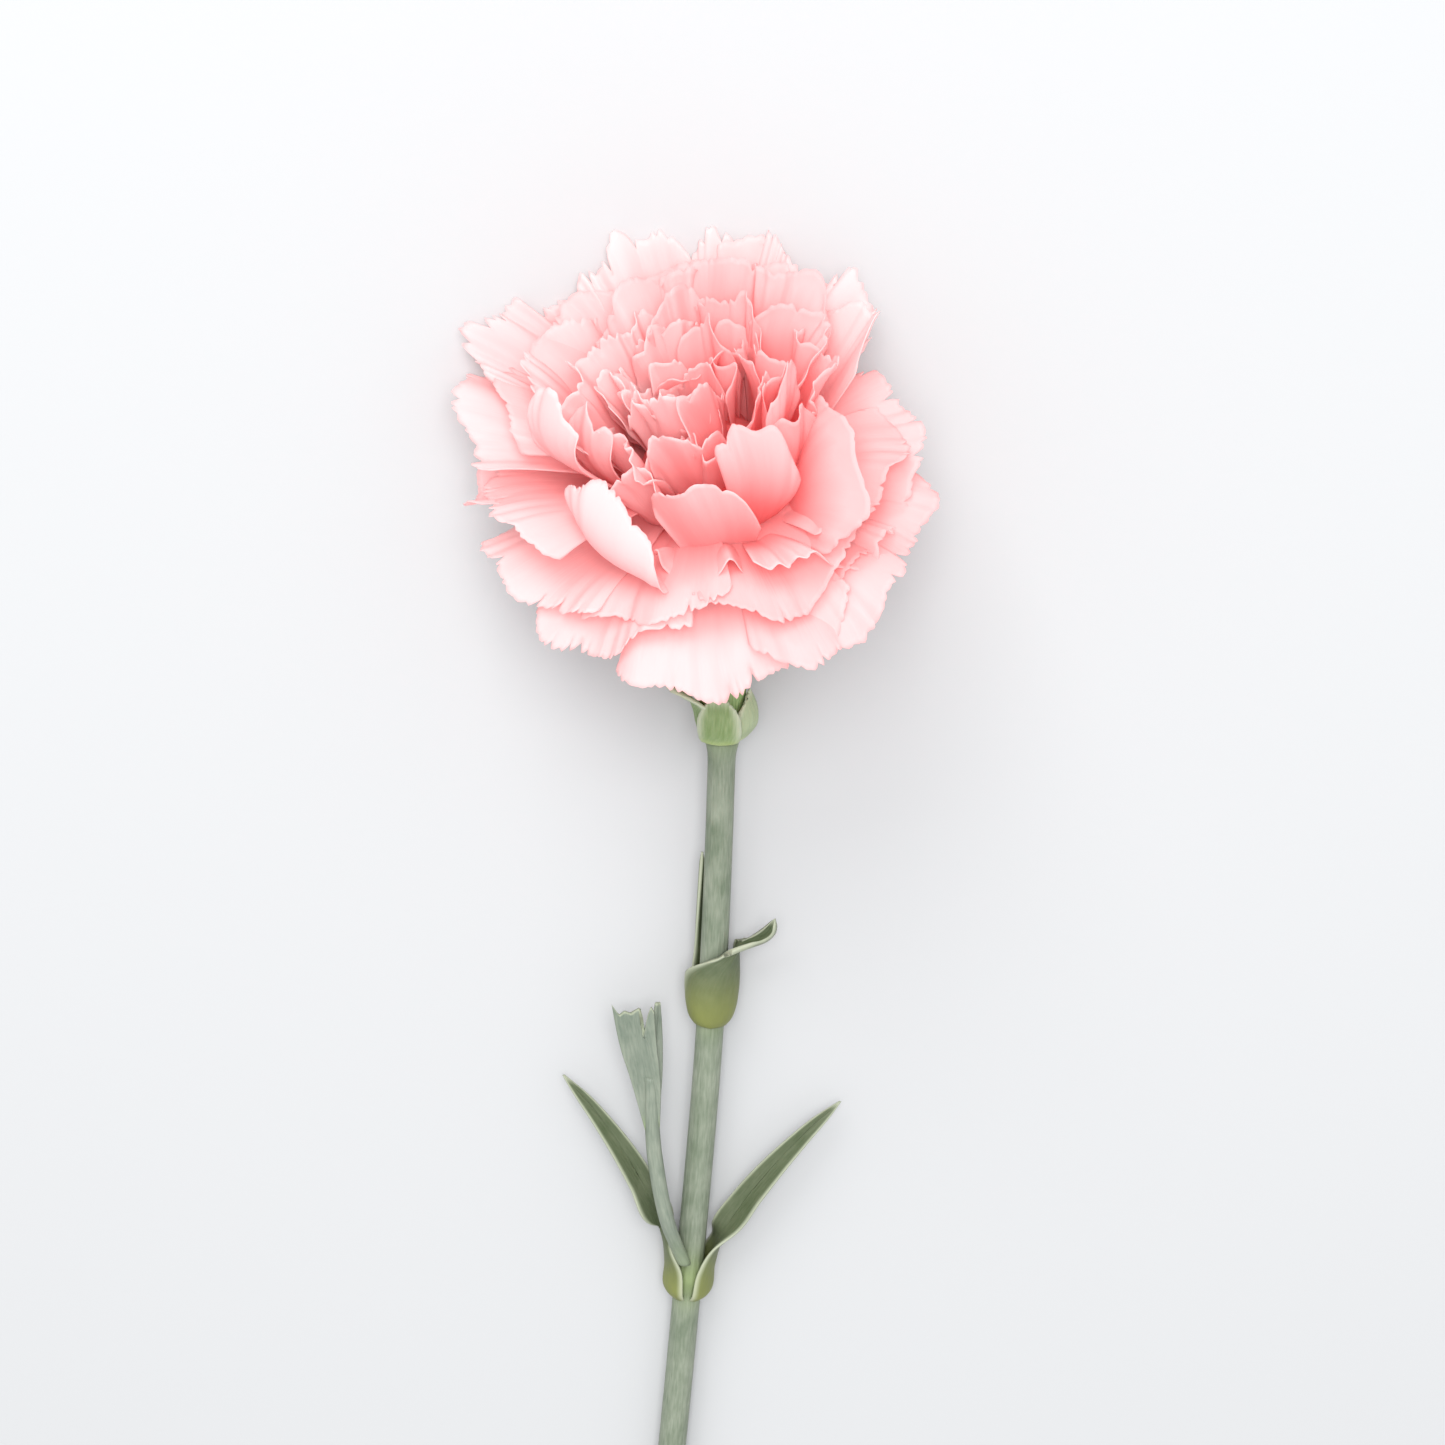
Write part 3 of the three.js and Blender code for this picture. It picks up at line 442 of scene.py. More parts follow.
def smooth_curve(knots, values, x):
    """Smooth values at x through the knots, with tangents taken from the neighbours"""
    knots, values, x = (np.asarray(v, float) for v in (knots, values, x))
    tangents = np.gradient(values, knots, axis=0)
    i = np.clip(np.searchsorted(knots, x, side="right") - 1, 0, len(knots) - 2)
    span = knots[i + 1] - knots[i]
    t = np.clip((x - knots[i]) / span, 0, 1)
    if values.ndim > 1:
        extra = (1,) * (values.ndim - 1)
        t, span = t.reshape(-1, *extra), span.reshape(-1, *extra)
    return ((2 * t ** 3 - 3 * t ** 2 + 1) * values[i] + (t ** 3 - 2 * t ** 2 + t) * span * tangents[i]
            + (3 * t ** 2 - 2 * t ** 3) * values[i + 1] + (t ** 3 - t ** 2) * span * tangents[i + 1])


CALYX_AXIS = np.array([0, math.cos(math.radians(CALYX_RISE)), math.sin(math.radians(CALYX_RISE))])
CALYX_UP = np.array([0, -math.sin(math.radians(CALYX_RISE)), math.cos(math.radians(CALYX_RISE))])
CALYX_FOOT = RIM - CALYX_AXIS * CALYX_DROP


def calyx_radius(height):
    """Outer radius of the calyx at heights above its foot"""
    return np.interp(height, CALYX_HEIGHTS, CALYX_RADII)


def round_calyx(radius, angle, height):
    """Points round the calyx's axis; angle 0 is to the right and a quarter turn is up"""
    radius, angle, height = np.broadcast_arrays(radius, angle, height)
    return (CALYX_FOOT + (radius * np.cos(angle))[..., None] * np.array([1.0, 0, 0])
            + (radius * np.sin(angle))[..., None] * CALYX_UP + height[..., None] * CALYX_AXIS)


def calyx_parts():
    """The cup of joined sepals with its five pointed teeth, finely ribbed"""
    angle = round_angles(240)
    share = 1 - np.abs((angle / (2 * math.pi) * CALYX_TEETH % 1) * 2 - 1)
    top = CALYX_TUBE + TOOTH_HEIGHT * share ** 0.8
    t = np.linspace(0, 1, 41)[:, None]
    height = t * top
    ribs = 0.09 * np.cos(angle * CALYX_TEETH * 6) * ease(t * 4) * (1 - 0.6 * t)
    seam = -0.22 * np.exp(-(share / 0.07) ** 2) * ease(t * 2)
    lip = 0.5 * ease((t - 0.88) / 0.12)
    radius = calyx_radius(height) - CALYX_WALL / 2 + ribs + seam + lip
    values = {"u": radius * np.cos(angle), "v": radius * np.sin(angle), "w": height,
              "young": 0.75 * ease(1 - height / 22),
              "edge": ease((t - 0.95) / 0.05) * (share > 0.04)}
    return [shell(round_calyx(radius, angle, height), CALYX_THICKNESS, values, closed=True)]


def bract_parts(place, half_width, clear, reach, point, bulge, dry):
    """A broad scale that hugs the foot of the calyx, bulges and ends in a short point. It is
    papery and paler by the share that is dry."""
    side = np.linspace(-1, 1, 49)[None, :]
    t = np.linspace(0, 1, 37)[:, None]
    taper = np.interp(t, [0, 0.3, 0.55, 0.75, 0.9, 1], [1, 1, 0.93, 0.7, 0.4, 0.06])
    height = 0.4 + reach * t - 0.8 * side ** 2 * t
    angle = math.radians(place) + math.radians(half_width) * taper * side
    keel = 0.3 * np.exp(-(side / 0.12) ** 2) * ease(t * 3) * (1 - t)
    creep = -(clear - 0.1) * ease((0.16 - t) / 0.16)
    ribs = 0.05 * np.cos(side * taper * 40) * ease(t * 3)
    swell = bulge * np.sin(math.pi * np.clip(t * 1.1, 0, 1)) * (1 - side ** 2)
    radius = calyx_radius(height) + clear + point * t ** 4 + swell + keel + creep + ribs
    margin = np.maximum(ease((np.abs(side) - 0.86) / 0.14), ease((t - 0.93) / 0.07))
    thickness = BRACT_THICKNESS - BRACT_THINNING * margin
    bleached = np.maximum(ease((np.abs(side) - 0.45) / 0.55), ease((t - 0.7) / 0.3))
    bleached = np.maximum(bleached * ease(t * 3), 0.6 * ease(1 - 6 * t))
    values = {"u": radius * angle, "v": 0 * t, "w": height, "young": ease(1 - 4 * t),
              "edge": np.maximum(bleached, dry)}
    return [shell(round_calyx(radius, angle, height), thickness, values)]


# The middle of the stem at its bends, in millimetres from the foot of the calyx
STEM_BENDS = np.array([
    [0, 0, 0],
    [-0.6, -20, -0.9],
    [-2, -UPPER_JOINT, -1.8],
    [-6.5, -MIDDLE_JOINT, -3.2],
    [-13.5, -LOWER_JOINT, -4.3],
    [-22, -STEM_LENGTH, -4.9],
])
STEM_DROPS = np.linspace(0, STEM_LENGTH, 1001)
STEM_PATH = CALYX_FOOT + smooth_curve(-STEM_BENDS[:, 1], STEM_BENDS, STEM_DROPS)
STEM_STEPS = np.linalg.norm(np.diff(STEM_PATH, axis=0), axis=1)
STEM_ARC = np.concatenate([[0], np.cumsum(STEM_STEPS)])


def stem_middle(distance):
    """Middle of the stem at distances down it"""
    return np.stack([np.interp(distance, STEM_ARC, STEM_PATH[:, k]) for k in range(3)], -1)


def stem_frame(distance):
    """Middle of the stem at distances down it, with its sideways and upward directions"""
    distance = np.atleast_1d(np.asarray(distance, float))
    inner = np.clip(distance, 1, STEM_ARC[-1] - 1)
    down = stem_middle(inner + 1) - stem_middle(inner - 1)
    down /= np.linalg.norm(down, axis=-1, keepdims=True)
    side = np.cross([0, 0, 1.0], down)
    side /= np.linalg.norm(side, axis=-1, keepdims=True)
    return stem_middle(distance), side, np.cross(down, side)


def stem_radius(distance):
    """Radius of the stem: swollen under the calyx and at its joints, which have a fine groove"""
    radius = STEM_RADIUS - 0.25 + 0.4 * distance / STEM_LENGTH
    radius = radius + 0.6 * np.exp(-(distance / 2.2) ** 2)
    for joint in JOINTS:
        radius = radius + 0.75 * np.exp(-((distance - joint) / 2.6) ** 2)
        radius = radius - 0.12 * np.exp(-((distance - joint - 0.4) / 0.35) ** 2)
    return radius


# Rings of the stem's cut end: their shares of its radius, and how pale the pith is there
CUT_SHARES = [0.93, 0.86, 0.4]
CUT_PALENESS = [0.35, 1, 1]


def stem_parts():
    """The stalk with fine ridges, closed by a cut end with paler pith"""
    distance = np.concatenate([np.arange(0.2, STEM_ARC[-1], 0.9), [STEM_ARC[-1]]])
    angle = round_angles(56)
    centre, side, up = (v[:, None, :] for v in stem_frame(distance))
    ridges = 0.035 * np.cos(angle * 14 + 0.4) + 0.05 * np.cos(angle * 3 + distance[:, None] / 60)
    radius = stem_radius(distance)[:, None] + ridges
    outward = np.cos(angle)[..., None] * side + np.sin(angle)[..., None] * up
    rings = centre + radius[..., None] * outward
    young = sum(np.exp(-((distance - joint + 1) / 5) ** 2) for joint in JOINTS)
    young = 0.85 * young + 0.25 * np.exp(-(distance / 3) ** 2)
    cut_rings = [centre[-1] + (rings[-1] - centre[-1]) * share for share in CUT_SHARES]
    rings = np.concatenate([rings, np.stack(cut_rings)])
    none = np.zeros(len(CUT_SHARES))
    along = np.concatenate([distance, none + distance[-1]])[:, None]
    values = {"u": STEM_RADIUS * np.cos(angle), "v": STEM_RADIUS * np.sin(angle), "w": along,
              "young": np.concatenate([young, none])[:, None], "edge": 0 * along,
              "cut": np.concatenate([0 * distance, CUT_PALENESS])[:, None]}
    return [tube(rings, values)]


def sheath_row(distance, slant, radius, start, end):
    """Points round the stem between two angles (0 is right, 90 up), slanting down the stem"""
    t = np.linspace(0, 1, LEAF_COLUMNS)
    centre, side, up = stem_frame(distance + slant * t)
    angle = np.radians(start + (end - start) * t)[:, None]
    return centre + radius * (np.cos(angle) * side + np.sin(angle) * up)


def blade_row(distance, beside, above, half_width, roll, keel):
    """Points across a free blade, whose margins stand above its keel"""
    s = np.linspace(-1, 1, LEAF_COLUMNS)[:, None]
    centre, side, up = stem_frame(distance)
    across = half_width * s
    raised = keel * np.abs(s) * half_width
    turn = math.radians(roll)
    x = across * math.cos(turn) - raised * math.sin(turn)
    y = across * math.sin(turn) + raised * math.cos(turn)
    return centre + (beside + x) * side + (above + y) * up


def leaf_part(rows, count, young, cut_tip=False, margin=0.2, lip=-0.55):
    """A leaf through rows of points, with a rib along its middle, a pale margin that is thinner
    or, as a lip, thicker than the blade, and a yellower foot"""
    rows = np.stack(rows)
    steps = np.linalg.norm(np.diff(rows.mean(1), axis=0), axis=1) + 0.5
    knots = np.concatenate([[0], np.cumsum(steps)])
    length = knots[-1]
    along = np.linspace(0, length, count)
    points = smooth_curve(knots, rows, along)
    side = np.linspace(-1, 1, LEAF_COLUMNS)[None, :]
    t = (along / length)[:, None]
    width = np.linalg.norm(points[:, -1] - points[:, 0], axis=-1)[:, None]
    edge = ease((np.abs(side) - 1 + margin) / margin)
    tip = 0 if cut_tip else ease((t - 0.94) / 0.06)
    skin = LEAF_THICKNESS * (1 + lip * edge * (1 - tip) - 0.55 * tip)
    skin = skin * (1 + 0.35 * np.exp(-(side / 0.12) ** 2))
    cut = 0.25 * ease((t - 0.985) / 0.015) if cut_tip else 0 * t
    values = {"u": side * width / 2, "v": 0 * side, "w": along[:, None],
              "young": ease(1 - t / young), "edge": np.maximum(edge, tip), "cut": cut}
    return shell(points, skin, values)


def upper_front_leaf():
    """Leaf on the upper side of the upper joint: a bulging sheath with a slanting rim, whose
    short blade curls away to the right"""
    base = UPPER_JOINT
    return leaf_part([
        sheath_row(base + 3.4, 0, 3.05, -14, 194),
        sheath_row(base + 2.4, 0, 3.7, -20, 200),
        sheath_row(base + 0.2, 0, 4.3, -22, 200),
        sheath_row(base - 2.2, 0, 4.55, -24, 192),
        sheath_row(base - 4.8, 0, 4.65, -24, 182),
        sheath_row(base - 6.8, 0, 4.6, -24, 168),
        sheath_row(base - 8.6, 0.2, 4.5, -24, 147),
        sheath_row(base - 10.2, 0.4, 4.4, -24, 120),
        sheath_row(base - 11.5, 0.5, 4.35, -22, 86),
        sheath_row(base - 12.5, 0.4, 4.6, -18, 48),
        blade_row(base - 13.3, 6.3, 1.3, 1.3, 55, 0.3),
        blade_row(base - 14.5, 8.1, 2.0, 1.5, 40, 0.3),
        blade_row(base - 16.4, 9.7, 2.9, 1.3, 32, 0.3),
        blade_row(base - 19.4, 10.7, 4.0, 0.12, 30, 0),
    ], 90, 0.5, margin=0.28, lip=0.5)


def upper_back_leaf():
    """Its partner on the floor side stands along the stem"""
    base = UPPER_JOINT
    return leaf_part([
        sheath_row(base + 3.4, 0, 3.05, 216, 324),
        sheath_row(base + 2.4, 0, 3.7, 210, 330),
        sheath_row(base - 4.5, 0, 4.5, 212, 326),
        sheath_row(base - 10, 0, 4.0, 208, 300),
        sheath_row(base - 15.5, 0, 3.45, 192, 262),
        sheath_row(base - 23.5, 0, 3.15, 184, 230),
        sheath_row(base - 30, 0, 3.05, 196, 202),
    ], 80, 0.4)


# Stations of the long leaves' blades: distance from the joint, place beside and above the
# stem's middle, and half width
BLADE_STATIONS = [
    (14, 7.6, 0.3, 3.1),
    (22, 11.5, 0.8, 3.0),
    (30, 16, 1.4, 2.6),
    (37, 21, 1.2, 2.0),
    (42, 25.5, 0.2, 1.3),
    (45, 29, -1, 0.2),
]


def middle_leaf(hand, reach):
    """A long leaf of the middle joint, to the left (-1) or the right (1)"""
    base = MIDDLE_JOINT
    facing = 180 if hand < 0 else 0
    rows = [
        sheath_row(base + 3.4, 0, 3.1, facing - 80, facing + 80),
        sheath_row(base + 2.4, 0, 4.0, facing - 78, facing + 78),
        sheath_row(base - 3, 0, 4.4, facing - 70, facing + 70),
        sheath_row(base - 8, 0, 5.2, facing - 42, facing + 42),
    ]
    for distance, beside, above, half_width in BLADE_STATIONS:
        row = blade_row(base - distance * reach, hand * beside * reach, above, half_width,
                        hand * 55 * (1 - distance / 50), 0.35)
        rows.append(row[::-1] if hand < 0 else row)
    return leaf_part(rows, 110, 0.3)


# The side shoot's stalk: distance from the middle joint, place beside and above the stem's
# middle, and its radii there
SHOOT_PATH = np.array([[5, -1.2, 3.4], [15, -5.0, 6.2], [28, -8.4, 5.2], [45, -10.5, 4.0]])
SHOOT_RADII = [1.3, 1.5, 1.5, 1.2]
SHOOT_GIRTH = 1.5

# The cut tip of its broad leaf: places across it, and how far it reaches out there
TIP_PLACES = [-1, -0.85, -0.65, -0.4, -0.1, 0.15, 0.3, 0.5, 0.65, 0.85, 1]
TIP_REACH = [2.6, 1.6, 0.4, 1.2, 0.7, 1.5, 2.0, -3.6, 0.0, 2.6, 1.4]


def shoot_stalk():
    """The thin stalk that starts in the axil of the left leaf"""
    steps = np.linspace(SHOOT_PATH[0, 0], SHOOT_PATH[-1, 0], 60)
    line = smooth_curve(SHOOT_PATH[:, 0], SHOOT_PATH, steps)
    radius = np.interp(steps, SHOOT_PATH[:, 0], SHOOT_RADII)[:, None]
    angle = round_angles(24)
    centre, side, up = (v[:, None, :] for v in stem_frame(MIDDLE_JOINT - line[:, 0]))
    across = line[:, 1:2] + radius * np.cos(angle)
    above = line[:, 2:3] + radius * np.sin(angle)
    rings = centre + across[..., None] * side + above[..., None] * up
    along = steps[:, None]
    values = {"u": SHOOT_GIRTH * np.cos(angle), "v": SHOOT_GIRTH * np.sin(angle), "w": along,
              "young": 0.4 * ease(1 - (along - SHOOT_PATH[0, 0]) / 10), "edge": 0 * angle,
              "cut": 0 * angle}
    return tube(rings, values)


def side_shoot_parts():
    """The side shoot: its stalk and two leaves with cut tips"""
    base = MIDDLE_JOINT
    notch = np.interp(np.linspace(-1, 1, LEAF_COLUMNS), TIP_PLACES, TIP_REACH)[:, None]
    tip_row = blade_row(base - 57.5, -14.3, 4.5, 3.9, 0, 0.15) + notch * np.array([0, 1.0, 0])
    broad = leaf_part([
        blade_row(base - 33, -9.2, 4.6, 1.2, 0, 0.3),
        blade_row(base - 44, -11.2, 4.2, 2.7, 0, 0.3),
        blade_row(base - 53, -13.3, 4.3, 3.5, 0, 0.25),
        tip_row,
    ], 70, 0.2, cut_tip=True)
    narrow = leaf_part([
        blade_row(base - 34, -9.0, 4.3, 0.6, -30, 0.3),
        blade_row(base - 46, -9.6, 3.6, 1.3, -35, 0.3),
        blade_row(base - 54, -10.0, 3.2, 1.2, -35, 0.3),
        blade_row(base - 60, -9.9, 3.2, 0.5, -35, 0.2),
    ], 60, 0.2, cut_tip=True)
    return [shoot_stalk(), broad, narrow]


def core_parts():
    """The bundle of claws between the calyx and the petals: a neck and a ball, both ribbed"""
    angle = round_angles(96)
    ribs = 1 + 0.05 * np.cos(angle * 16)
    height = np.linspace(28, 44, 12)[:, None]
    inside = calyx_radius(np.minimum(height, CALYX_TUBE)) - CALYX_WALL - CLAW_CLEARANCE
    neck = round_calyx(inside * ribs, angle, height)
    tilt = np.linspace(0.02, math.pi - 0.02, 25)[:, None]
    radius = CORE_RADIUS * np.sin(tilt) * ribs
    rise = CORE_RISE - CORE_RADIUS * np.cos(tilt)
    ball = round_bloom(radius * np.cos(angle), radius * np.sin(angle), rise)
    values = {"reach": 0.1 + 0 * angle, "turned": np.degrees(angle), "tone": 0 * angle,
              "pale": 0.3 + 0 * angle}
    return [tube(neck, values), tube(ball, values)]


def petal_part(petal):
    """The skin of a petal, with the numbers that its colour depends on"""
    points, reach, side = petal_points(petal)
    thickness = FOOT_THICKNESS + (MARGIN_THICKNESS - FOOT_THICKNESS) * ease(reach)
    values = {"reach": reach * petal["fade"], "turned": side * petal["spread"],
              "tone": draw(petal["seed"], 31) * 2 - 1, "pale": petal["pale"] + 0 * side}
    return shell(points, thickness, values)


# Colours of deep and of pale petals from foot to margin, and of their outer faces. The deep
# coral at the foot is partly the petals' own colour and partly painted shade in the bloom's
# hollows. The deep petals' last stop, darker than the one before, is painted shade that dulls
# the light their rims catch.
CORAL = [(0.0, (0.995, 0.17, 0.16)), (0.32, (0.995, 0.29, 0.29)), (0.62, (0.995, 0.49, 0.49)),
         (0.9, (0.995, 0.65, 0.65)), (1.0, (0.995, 0.61, 0.61))]
PALE_PINK = [(0.0, (0.995, 0.38, 0.39)), (0.4, (0.995, 0.60, 0.605)),
             (0.75, (0.995, 0.72, 0.72)), (1.0, (0.995, 0.79, 0.785))]
OUTER_PINK = (0.995, 0.80, 0.80, 1)

# Green skins: the deep and the waxy green, young tissue, and how far their edges bleach
GREENS = {
    "calyx_skin": ((0.16, 0.25, 0.09), (0.27, 0.36, 0.18), (0.24, 0.34, 0.12), 0.5),
    "bract_skin": ((0.12, 0.19, 0.052), (0.25, 0.32, 0.155), (0.40, 0.47, 0.15), 0.8),
    "stem_skin": ((0.112, 0.145, 0.093), (0.24, 0.268, 0.205), (0.19, 0.245, 0.10), 0.5),
    "leaf_skin": ((0.052, 0.075, 0.03), (0.097, 0.117, 0.063), (0.142, 0.157, 0.039), 0.6),
    "shoot_skin": ((0.123, 0.155, 0.117), (0.235, 0.262, 0.207), (0.20, 0.255, 0.12), 0.1),
}
BLEACHED = (0.50, 0.53, 0.40, 1)
CUT_FACE = (0.62, 0.66, 0.42, 1)
FLOOR_GREY = (0.465, 0.47, 0.475, 1)


def new_node(tree, kind, inputs=None, **settings):
    """A shader node with its settings, whose inputs are values or the outputs of other nodes"""
    made = tree.nodes.new("ShaderNode" + kind)
    for key, value in settings.items():
        setattr(made, key, value)
    for key, value in (inputs or {}).items():
        if isinstance(value, bpy.types.NodeSocket):
            tree.links.new(value, made.inputs[key])
        else:
            made.inputs[key].default_value = value
    return made


def carried_value(tree, name):
    """A number that the points of the mesh carry"""
    return new_node(tree, "Attribute", attribute_name=name).outputs["Fac"]


def maths(tree, operation, a, b):
    """Output of a Math node"""
    return new_node(tree, "Math", {0: a, 1: b}, operation=operation).outputs[0]


def blend(tree, factor, a, b):
    """Colour a, replaced by colour b as far as the factor says"""
    mix = new_node(tree, "Mix", data_type="RGBA")
    for socket, value in ((mix.inputs[0], factor), (mix.inputs[6], a), (mix.inputs[7], b)):
        if isinstance(value, bpy.types.NodeSocket):
            tree.links.new(value, socket)
        else:
            socket.default_value = value
    return mix.outputs[2]


def ramp(tree, factor, stops):
    """Colour that runs through stops, each a place and a colour"""
    made = new_node(tree, "ValToRGB", {"Fac": factor})
    elements = made.color_ramp.elements
    while len(elements) < len(stops):
        elements.new(0.5)
    for element, (place, colour) in zip(elements, stops):
        element.position = place
        element.color = (*colour, 1)
    return made.outputs["Color"]


def noise(tree, vector, scale, detail=2.0):
    """Cloudy noise between 0 and 1"""
    inputs = {"Vector": vector, "Scale": scale, "Detail": detail}
    return new_node(tree, "TexNoise", inputs).outputs["Fac"]


def start_material(name):
    """An empty material with its node tree"""
    material = bpy.data.materials.new(name)
    material.use_nodes = True
    material.node_tree.nodes.clear()
    return material, material.node_tree


def petal_material():
    """Translucent pink: coral at the foot, partly painted shade of the bloom's hollows, paler towards
    the margin, with fine lengthwise veins
    """
    material, tree = start_material("petal_skin")
    reach = carried_value(tree, "reach")
    tone = carried_value(tree, "tone")
    paleness = carried_value(tree, "pale")
    stretched = {0: maths(tree, "MULTIPLY", carried_value(tree, "turned"), 0.45),
                 1: maths(tree, "MULTIPLY", reach, 2.2),
                 2: maths(tree, "MULTIPLY", tone, 31.0)}
    lengthwise = new_node(tree, "CombineXYZ", stretched).outputs[0]
    streaks = noise(tree, lengthwise, 1.0)
    veins = noise(tree, lengthwise, 3.0)
    clouds = noise(tree, new_node(tree, "TexCoord").outputs["Object"], 55.0)

    streaked = maths(tree, "MULTIPLY", maths(tree, "SUBTRACT", streaks, 0.5), 0.14)
    clouded = maths(tree, "MULTIPLY", maths(tree, "SUBTRACT", clouds, 0.5), 0.25)
    factor = maths(tree, "ADD", maths(tree, "ADD", streaked, reach), clouded)
    factor = maths(tree, "ADD", factor, maths(tree, "MULTIPLY", tone, 0.05))
    # The paleness is partly each petal's own tone and partly painted light: a painted reflection on
    # the left petals and painted shade on some petals in the hollows
    colour = blend(tree, paleness, ramp(tree, factor, CORAL), ramp(tree, factor, PALE_PINK))
    whiter = maths(tree, "ADD", maths(tree, "MULTIPLY", paleness, 0.28), 0.08)
    outside = maths(tree, "MULTIPLY", carried_value(tree, "outer"), whiter)
    colour = blend(tree, outside, colour, OUTER_PINK)

    vein_depth = maths(tree, "MULTIPLY", veins, 0.6)
    depth = maths(tree, "ADD", vein_depth, maths(tree, "MULTIPLY", streaks, 0.8))
    bump = new_node(tree, "Bump", {"Strength": 0.2, "Distance": 0.0004, "Height": depth}).outputs[0]
    skin = new_node(tree, "BsdfPrincipled", {"Base Color": colour, "Roughness": 0.55,
                                             "Specular IOR Level": 0.3, "Normal": bump}).outputs[0]
    through = new_node(tree, "BsdfTranslucent", {"Color": colour, "Normal": bump}).outputs[0]
    mixed = new_node(tree, "MixShader", {0: 0.58, 1: skin, 2: through}).outputs[0]
    new_node(tree, "OutputMaterial", {"Surface": mixed})
    return material


def green_material(name, deep, waxy, young, bleach):
    """Waxy green skin: a pale bloom in soft patches, lengthwise striations, yellower young
    tissue, pale edges and pale cut faces"""
    material, tree = start_material(name)
    stretched = {0: carried_value(tree, "u"), 1: carried_value(tree, "v"),
                 2: maths(tree, "MULTIPLY", carried_value(tree, "w"), 0.12)}
    lengthwise = new_node(tree, "CombineXYZ", stretched).outputs[0]
    striations = noise(tree, lengthwise, 2.6, 3.0)
    place = new_node(tree, "TexCoord").outputs["Object"]
    patches = noise(tree, place, 130.0, 4.0)
    grain = noise(tree, place, 2200.0)

    striped = maths(tree, "MULTIPLY", striations, 0.7)
    wax = maths(tree, "ADD", striped, maths(tree, "MULTIPLY", patches, 0.9))
    colour = ramp(tree, maths(tree, "SUBTRACT", wax, 0.3), [(0.25, deep), (0.75, waxy)])
    brighter = tuple(min(1, 1.35 * c) for c in young)
    tissue = ramp(tree, patches, [(0.3, young), (0.8, brighter)])
    colour = blend(tree, carried_value(tree, "young"), colour, tissue)
    rim = maths(tree, "MULTIPLY", carried_value(tree, "edge"), bleach)
    colour = blend(tree, rim, colour, BLEACHED)
    colour = blend(tree, carried_value(tree, "cut"), colour, CUT_FACE)

    depth = maths(tree, "ADD", striations, maths(tree, "MULTIPLY", grain, 0.12))
    bump = new_node(tree, "Bump", {"Strength": 0.4, "Distance": 0.0003, "Height": depth}).outputs[0]
    roughness = maths(tree, "ADD", maths(tree, "MULTIPLY", patches, 0.25), 0.38)
    skin = new_node(tree, "BsdfPrincipled", {"Base Color": colour, "Roughness": roughness,
                                             "Specular IOR Level": 0.4, "Normal": bump}).outputs[0]
    new_node(tree, "OutputMaterial", {"Surface": skin})
    return material


petal_skin = petal_material()
greens = {name: green_material(name, *colours) for name, colours in GREENS.items()}

# The bloom, its petals grouped from the outside in
petals = list_petals()
PETAL_GROUPS = {
    "petals_outer": ("back", "outer"),
    "petals_front": ("front", "ruffle"),
    "petals_collar": ("collar", "smooth", "belly", "scroll"),
    "petals_middle": ("inner", "swirl", "heart"),
}
for group, kinds in PETAL_GROUPS.items():
    parts = [petal_part(p) for p in petals if p["kind"] in kinds]
    add_piece(group, parts, petal_skin, "petals")
add_piece("petal_claws", core_parts(), petal_skin, "petals")

# The green parts. Bracts: place round the calyx (90 is up), half width in degrees, clearance
# from the calyx, length, how far the point spreads, the bulge and the share that is dry.
INNER_CLEAR = GAP + 0.6
OUTER_CLEAR = 2 * GAP + 1.6
BRACTS = {
    "bract_left": (149, 46, INNER_CLEAR, 13.5, 5.2, -0.3, 0),
    "bract_right": (14, 54, INNER_CLEAR, 10.5, -0.4, 1.4, 0.45),
    "bract_front": (96, 41, OUTER_CLEAR, 12.5, -0.7, 0.15, 0),
    "bract_back": (-90, 56, OUTER_CLEAR, 10, 0.7, 0, 0),
}
add_piece("calyx_cup", calyx_parts(), greens["calyx_skin"], "calyx")
for node, shape in BRACTS.items():
    add_piece(node + "_scale", bract_parts(*shape), greens["bract_skin"], node)
add_piece("stem_stalk", stem_parts(), greens["stem_skin"], "stem")
LEAVES = {
    "leaf_upper_front": upper_front_leaf(),
    "leaf_upper_back": upper_back_leaf(),
    "leaf_middle_left": middle_leaf(-1, 0.92),
    "leaf_middle_right": middle_leaf(1, 0.88),
}
for node, leaf in LEAVES.items():
    add_piece(node + "_blade", [leaf], greens["leaf_skin"], node)
add_piece("side_shoot_leaves", side_shoot_parts(), greens["shoot_skin"], "side_shoot")

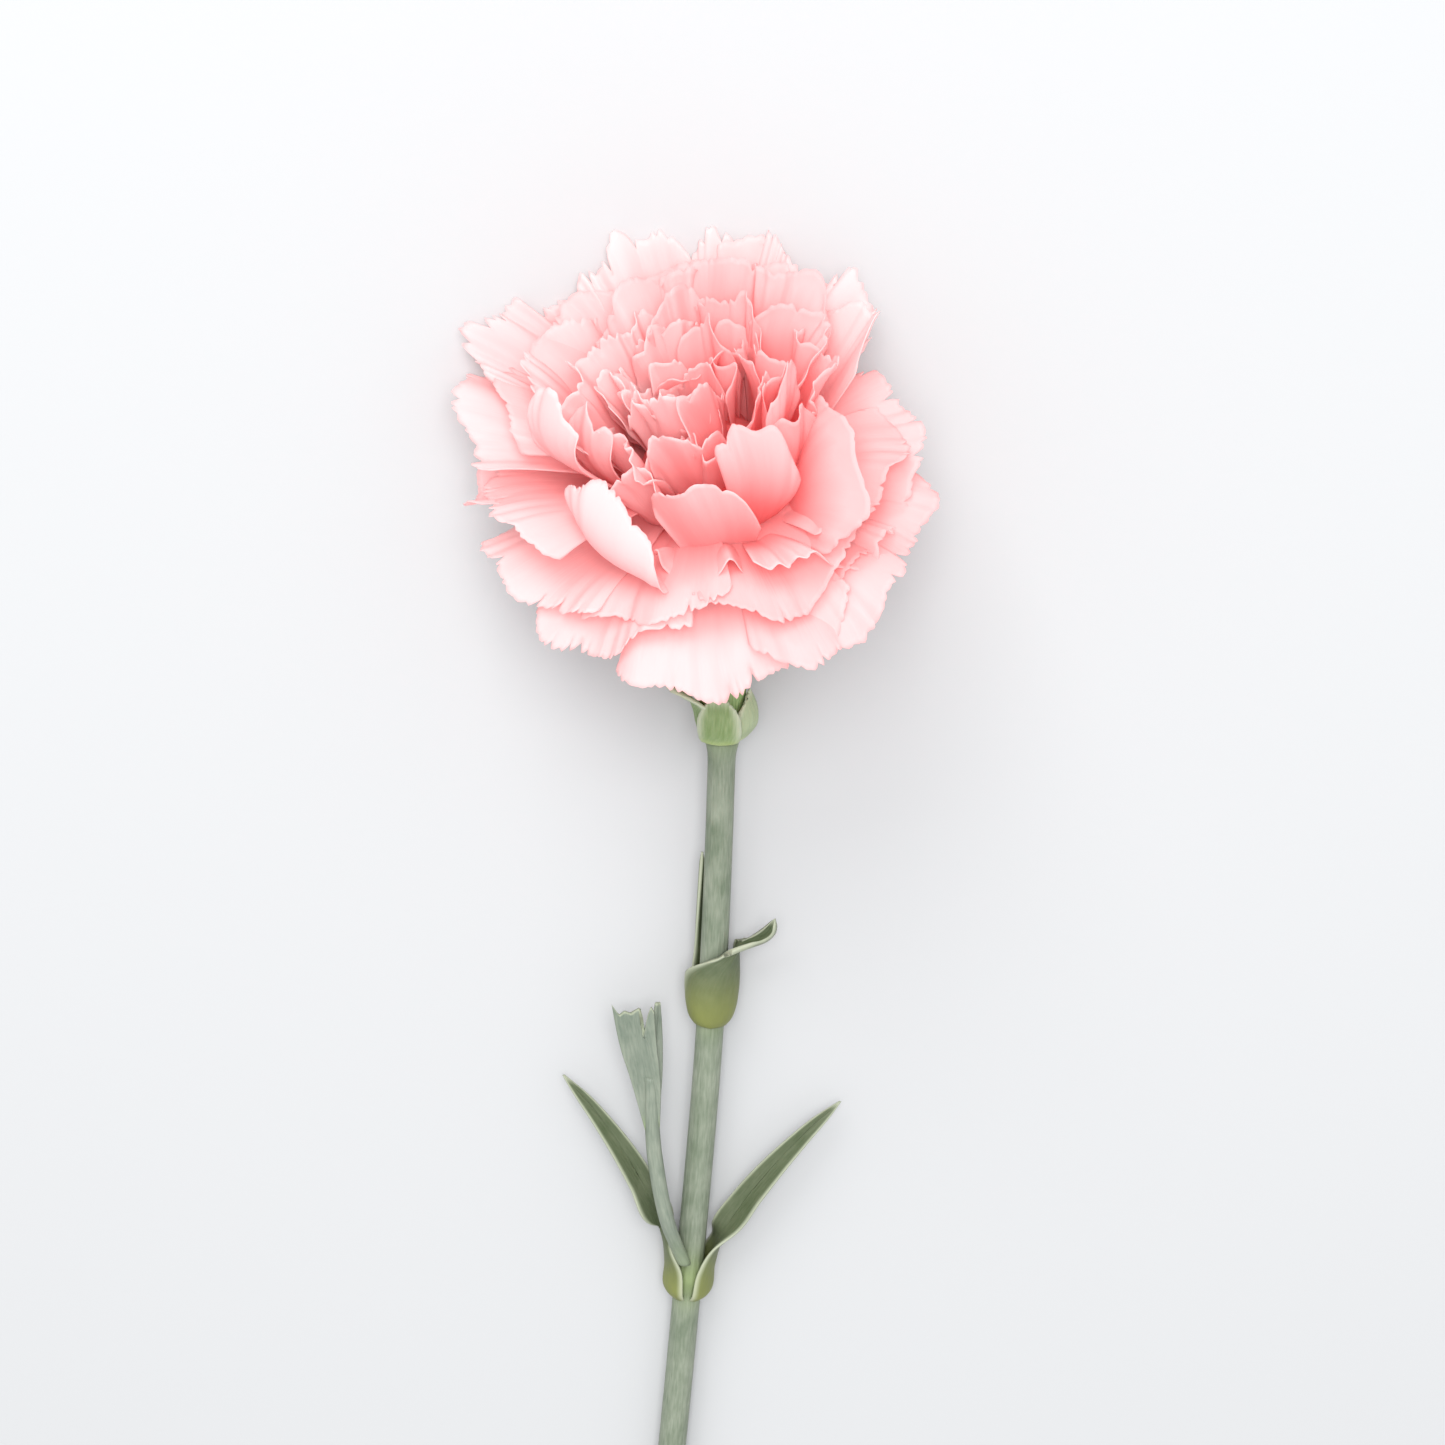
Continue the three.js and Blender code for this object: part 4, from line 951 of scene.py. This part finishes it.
# Floor, camera, lights and sky. The floor reaches 2 m each way.
FLOOR = 2.0
corners = [(-FLOOR, -FLOOR, 0), (FLOOR, -FLOOR, 0), (FLOOR, FLOOR, 0), (-FLOOR, FLOOR, 0)]
floor_mesh = bpy.data.meshes.new("floor")
floor_mesh.from_pydata(corners, [], [(0, 1, 2, 3)])
floor = bpy.data.objects.new("floor", floor_mesh)
bpy.context.scene.collection.objects.link(floor)
floor_skin, floor_tree = start_material("floor_skin")
floor_look = {"Base Color": FLOOR_GREY, "Roughness": 0.9}
floor_shader = new_node(floor_tree, "BsdfPrincipled", floor_look)
new_node(floor_tree, "OutputMaterial", {"Surface": floor_shader.outputs[0]})
floor_mesh.materials.append(floor_skin)


def add_camera():
    """A camera that sees the calyx rim at its pixel of the photograph, at the photograph's angle"""
    rise = math.radians(CAMERA_RISE)
    back = Vector((0, math.cos(rise), math.sin(rise)))
    up = Vector((0, math.sin(rise), -math.cos(rise)))
    right = Vector((1, 0, 0))
    middle = PHOTO_SIDE / 2
    target = Vector(RIM) + right * ((middle - RIM_PIXEL[0]) / PIXELS_PER_MM)
    target -= up * ((middle - RIM_PIXEL[1]) / PIXELS_PER_MM)
    lens = bpy.data.cameras.new("camera")
    lens.sensor_width = SENSOR_WIDTH
    lens.lens = lens.sensor_width * CAMERA_DISTANCE * PIXELS_PER_MM / PHOTO_SIDE
    camera = bpy.data.objects.new("camera", lens)
    bpy.context.scene.collection.objects.link(camera)
    turned = Matrix((right, up, back)).transposed().to_4x4()
    camera.matrix_world = Matrix.Translation((target + back * CAMERA_DISTANCE) * MM) @ turned
    bpy.context.scene.camera = camera


# Square lights: place and size in metres, and power in watts. Both face the calyx.
LIGHTS = {
    "key": ((-0.3, 1.15, 0.75), 0.7, 9),
    "fill": ((0.05, 0.5, 1.0), 0.5, 9),
}
LIT_PLACE = (0, 0.1, 0.02)
SKY_COLOUR = (0.97, 0.98, 1, 1)
SKY_STRENGTH = 1.05


def add_light(name, place, size, power):
    """A square light that faces the lit place"""
    light = bpy.data.lights.new(name, "AREA")
    light.size = size
    light.energy = power
    lamp = bpy.data.objects.new(name, light)
    bpy.context.scene.collection.objects.link(lamp)
    lamp.location = place
    lamp.rotation_euler = (Vector(LIT_PLACE) - Vector(place)).to_track_quat("-Z", "Y").to_euler()


add_camera()
world = bpy.data.worlds.new("studio")
bpy.context.scene.world = world
world.use_nodes = True
sky = world.node_tree.nodes["Background"]
sky.inputs["Color"].default_value = SKY_COLOUR
sky.inputs["Strength"].default_value = SKY_STRENGTH
for name, light in LIGHTS.items():
    add_light(name, *light)
bpy.context.scene.view_settings.view_transform = "Standard"
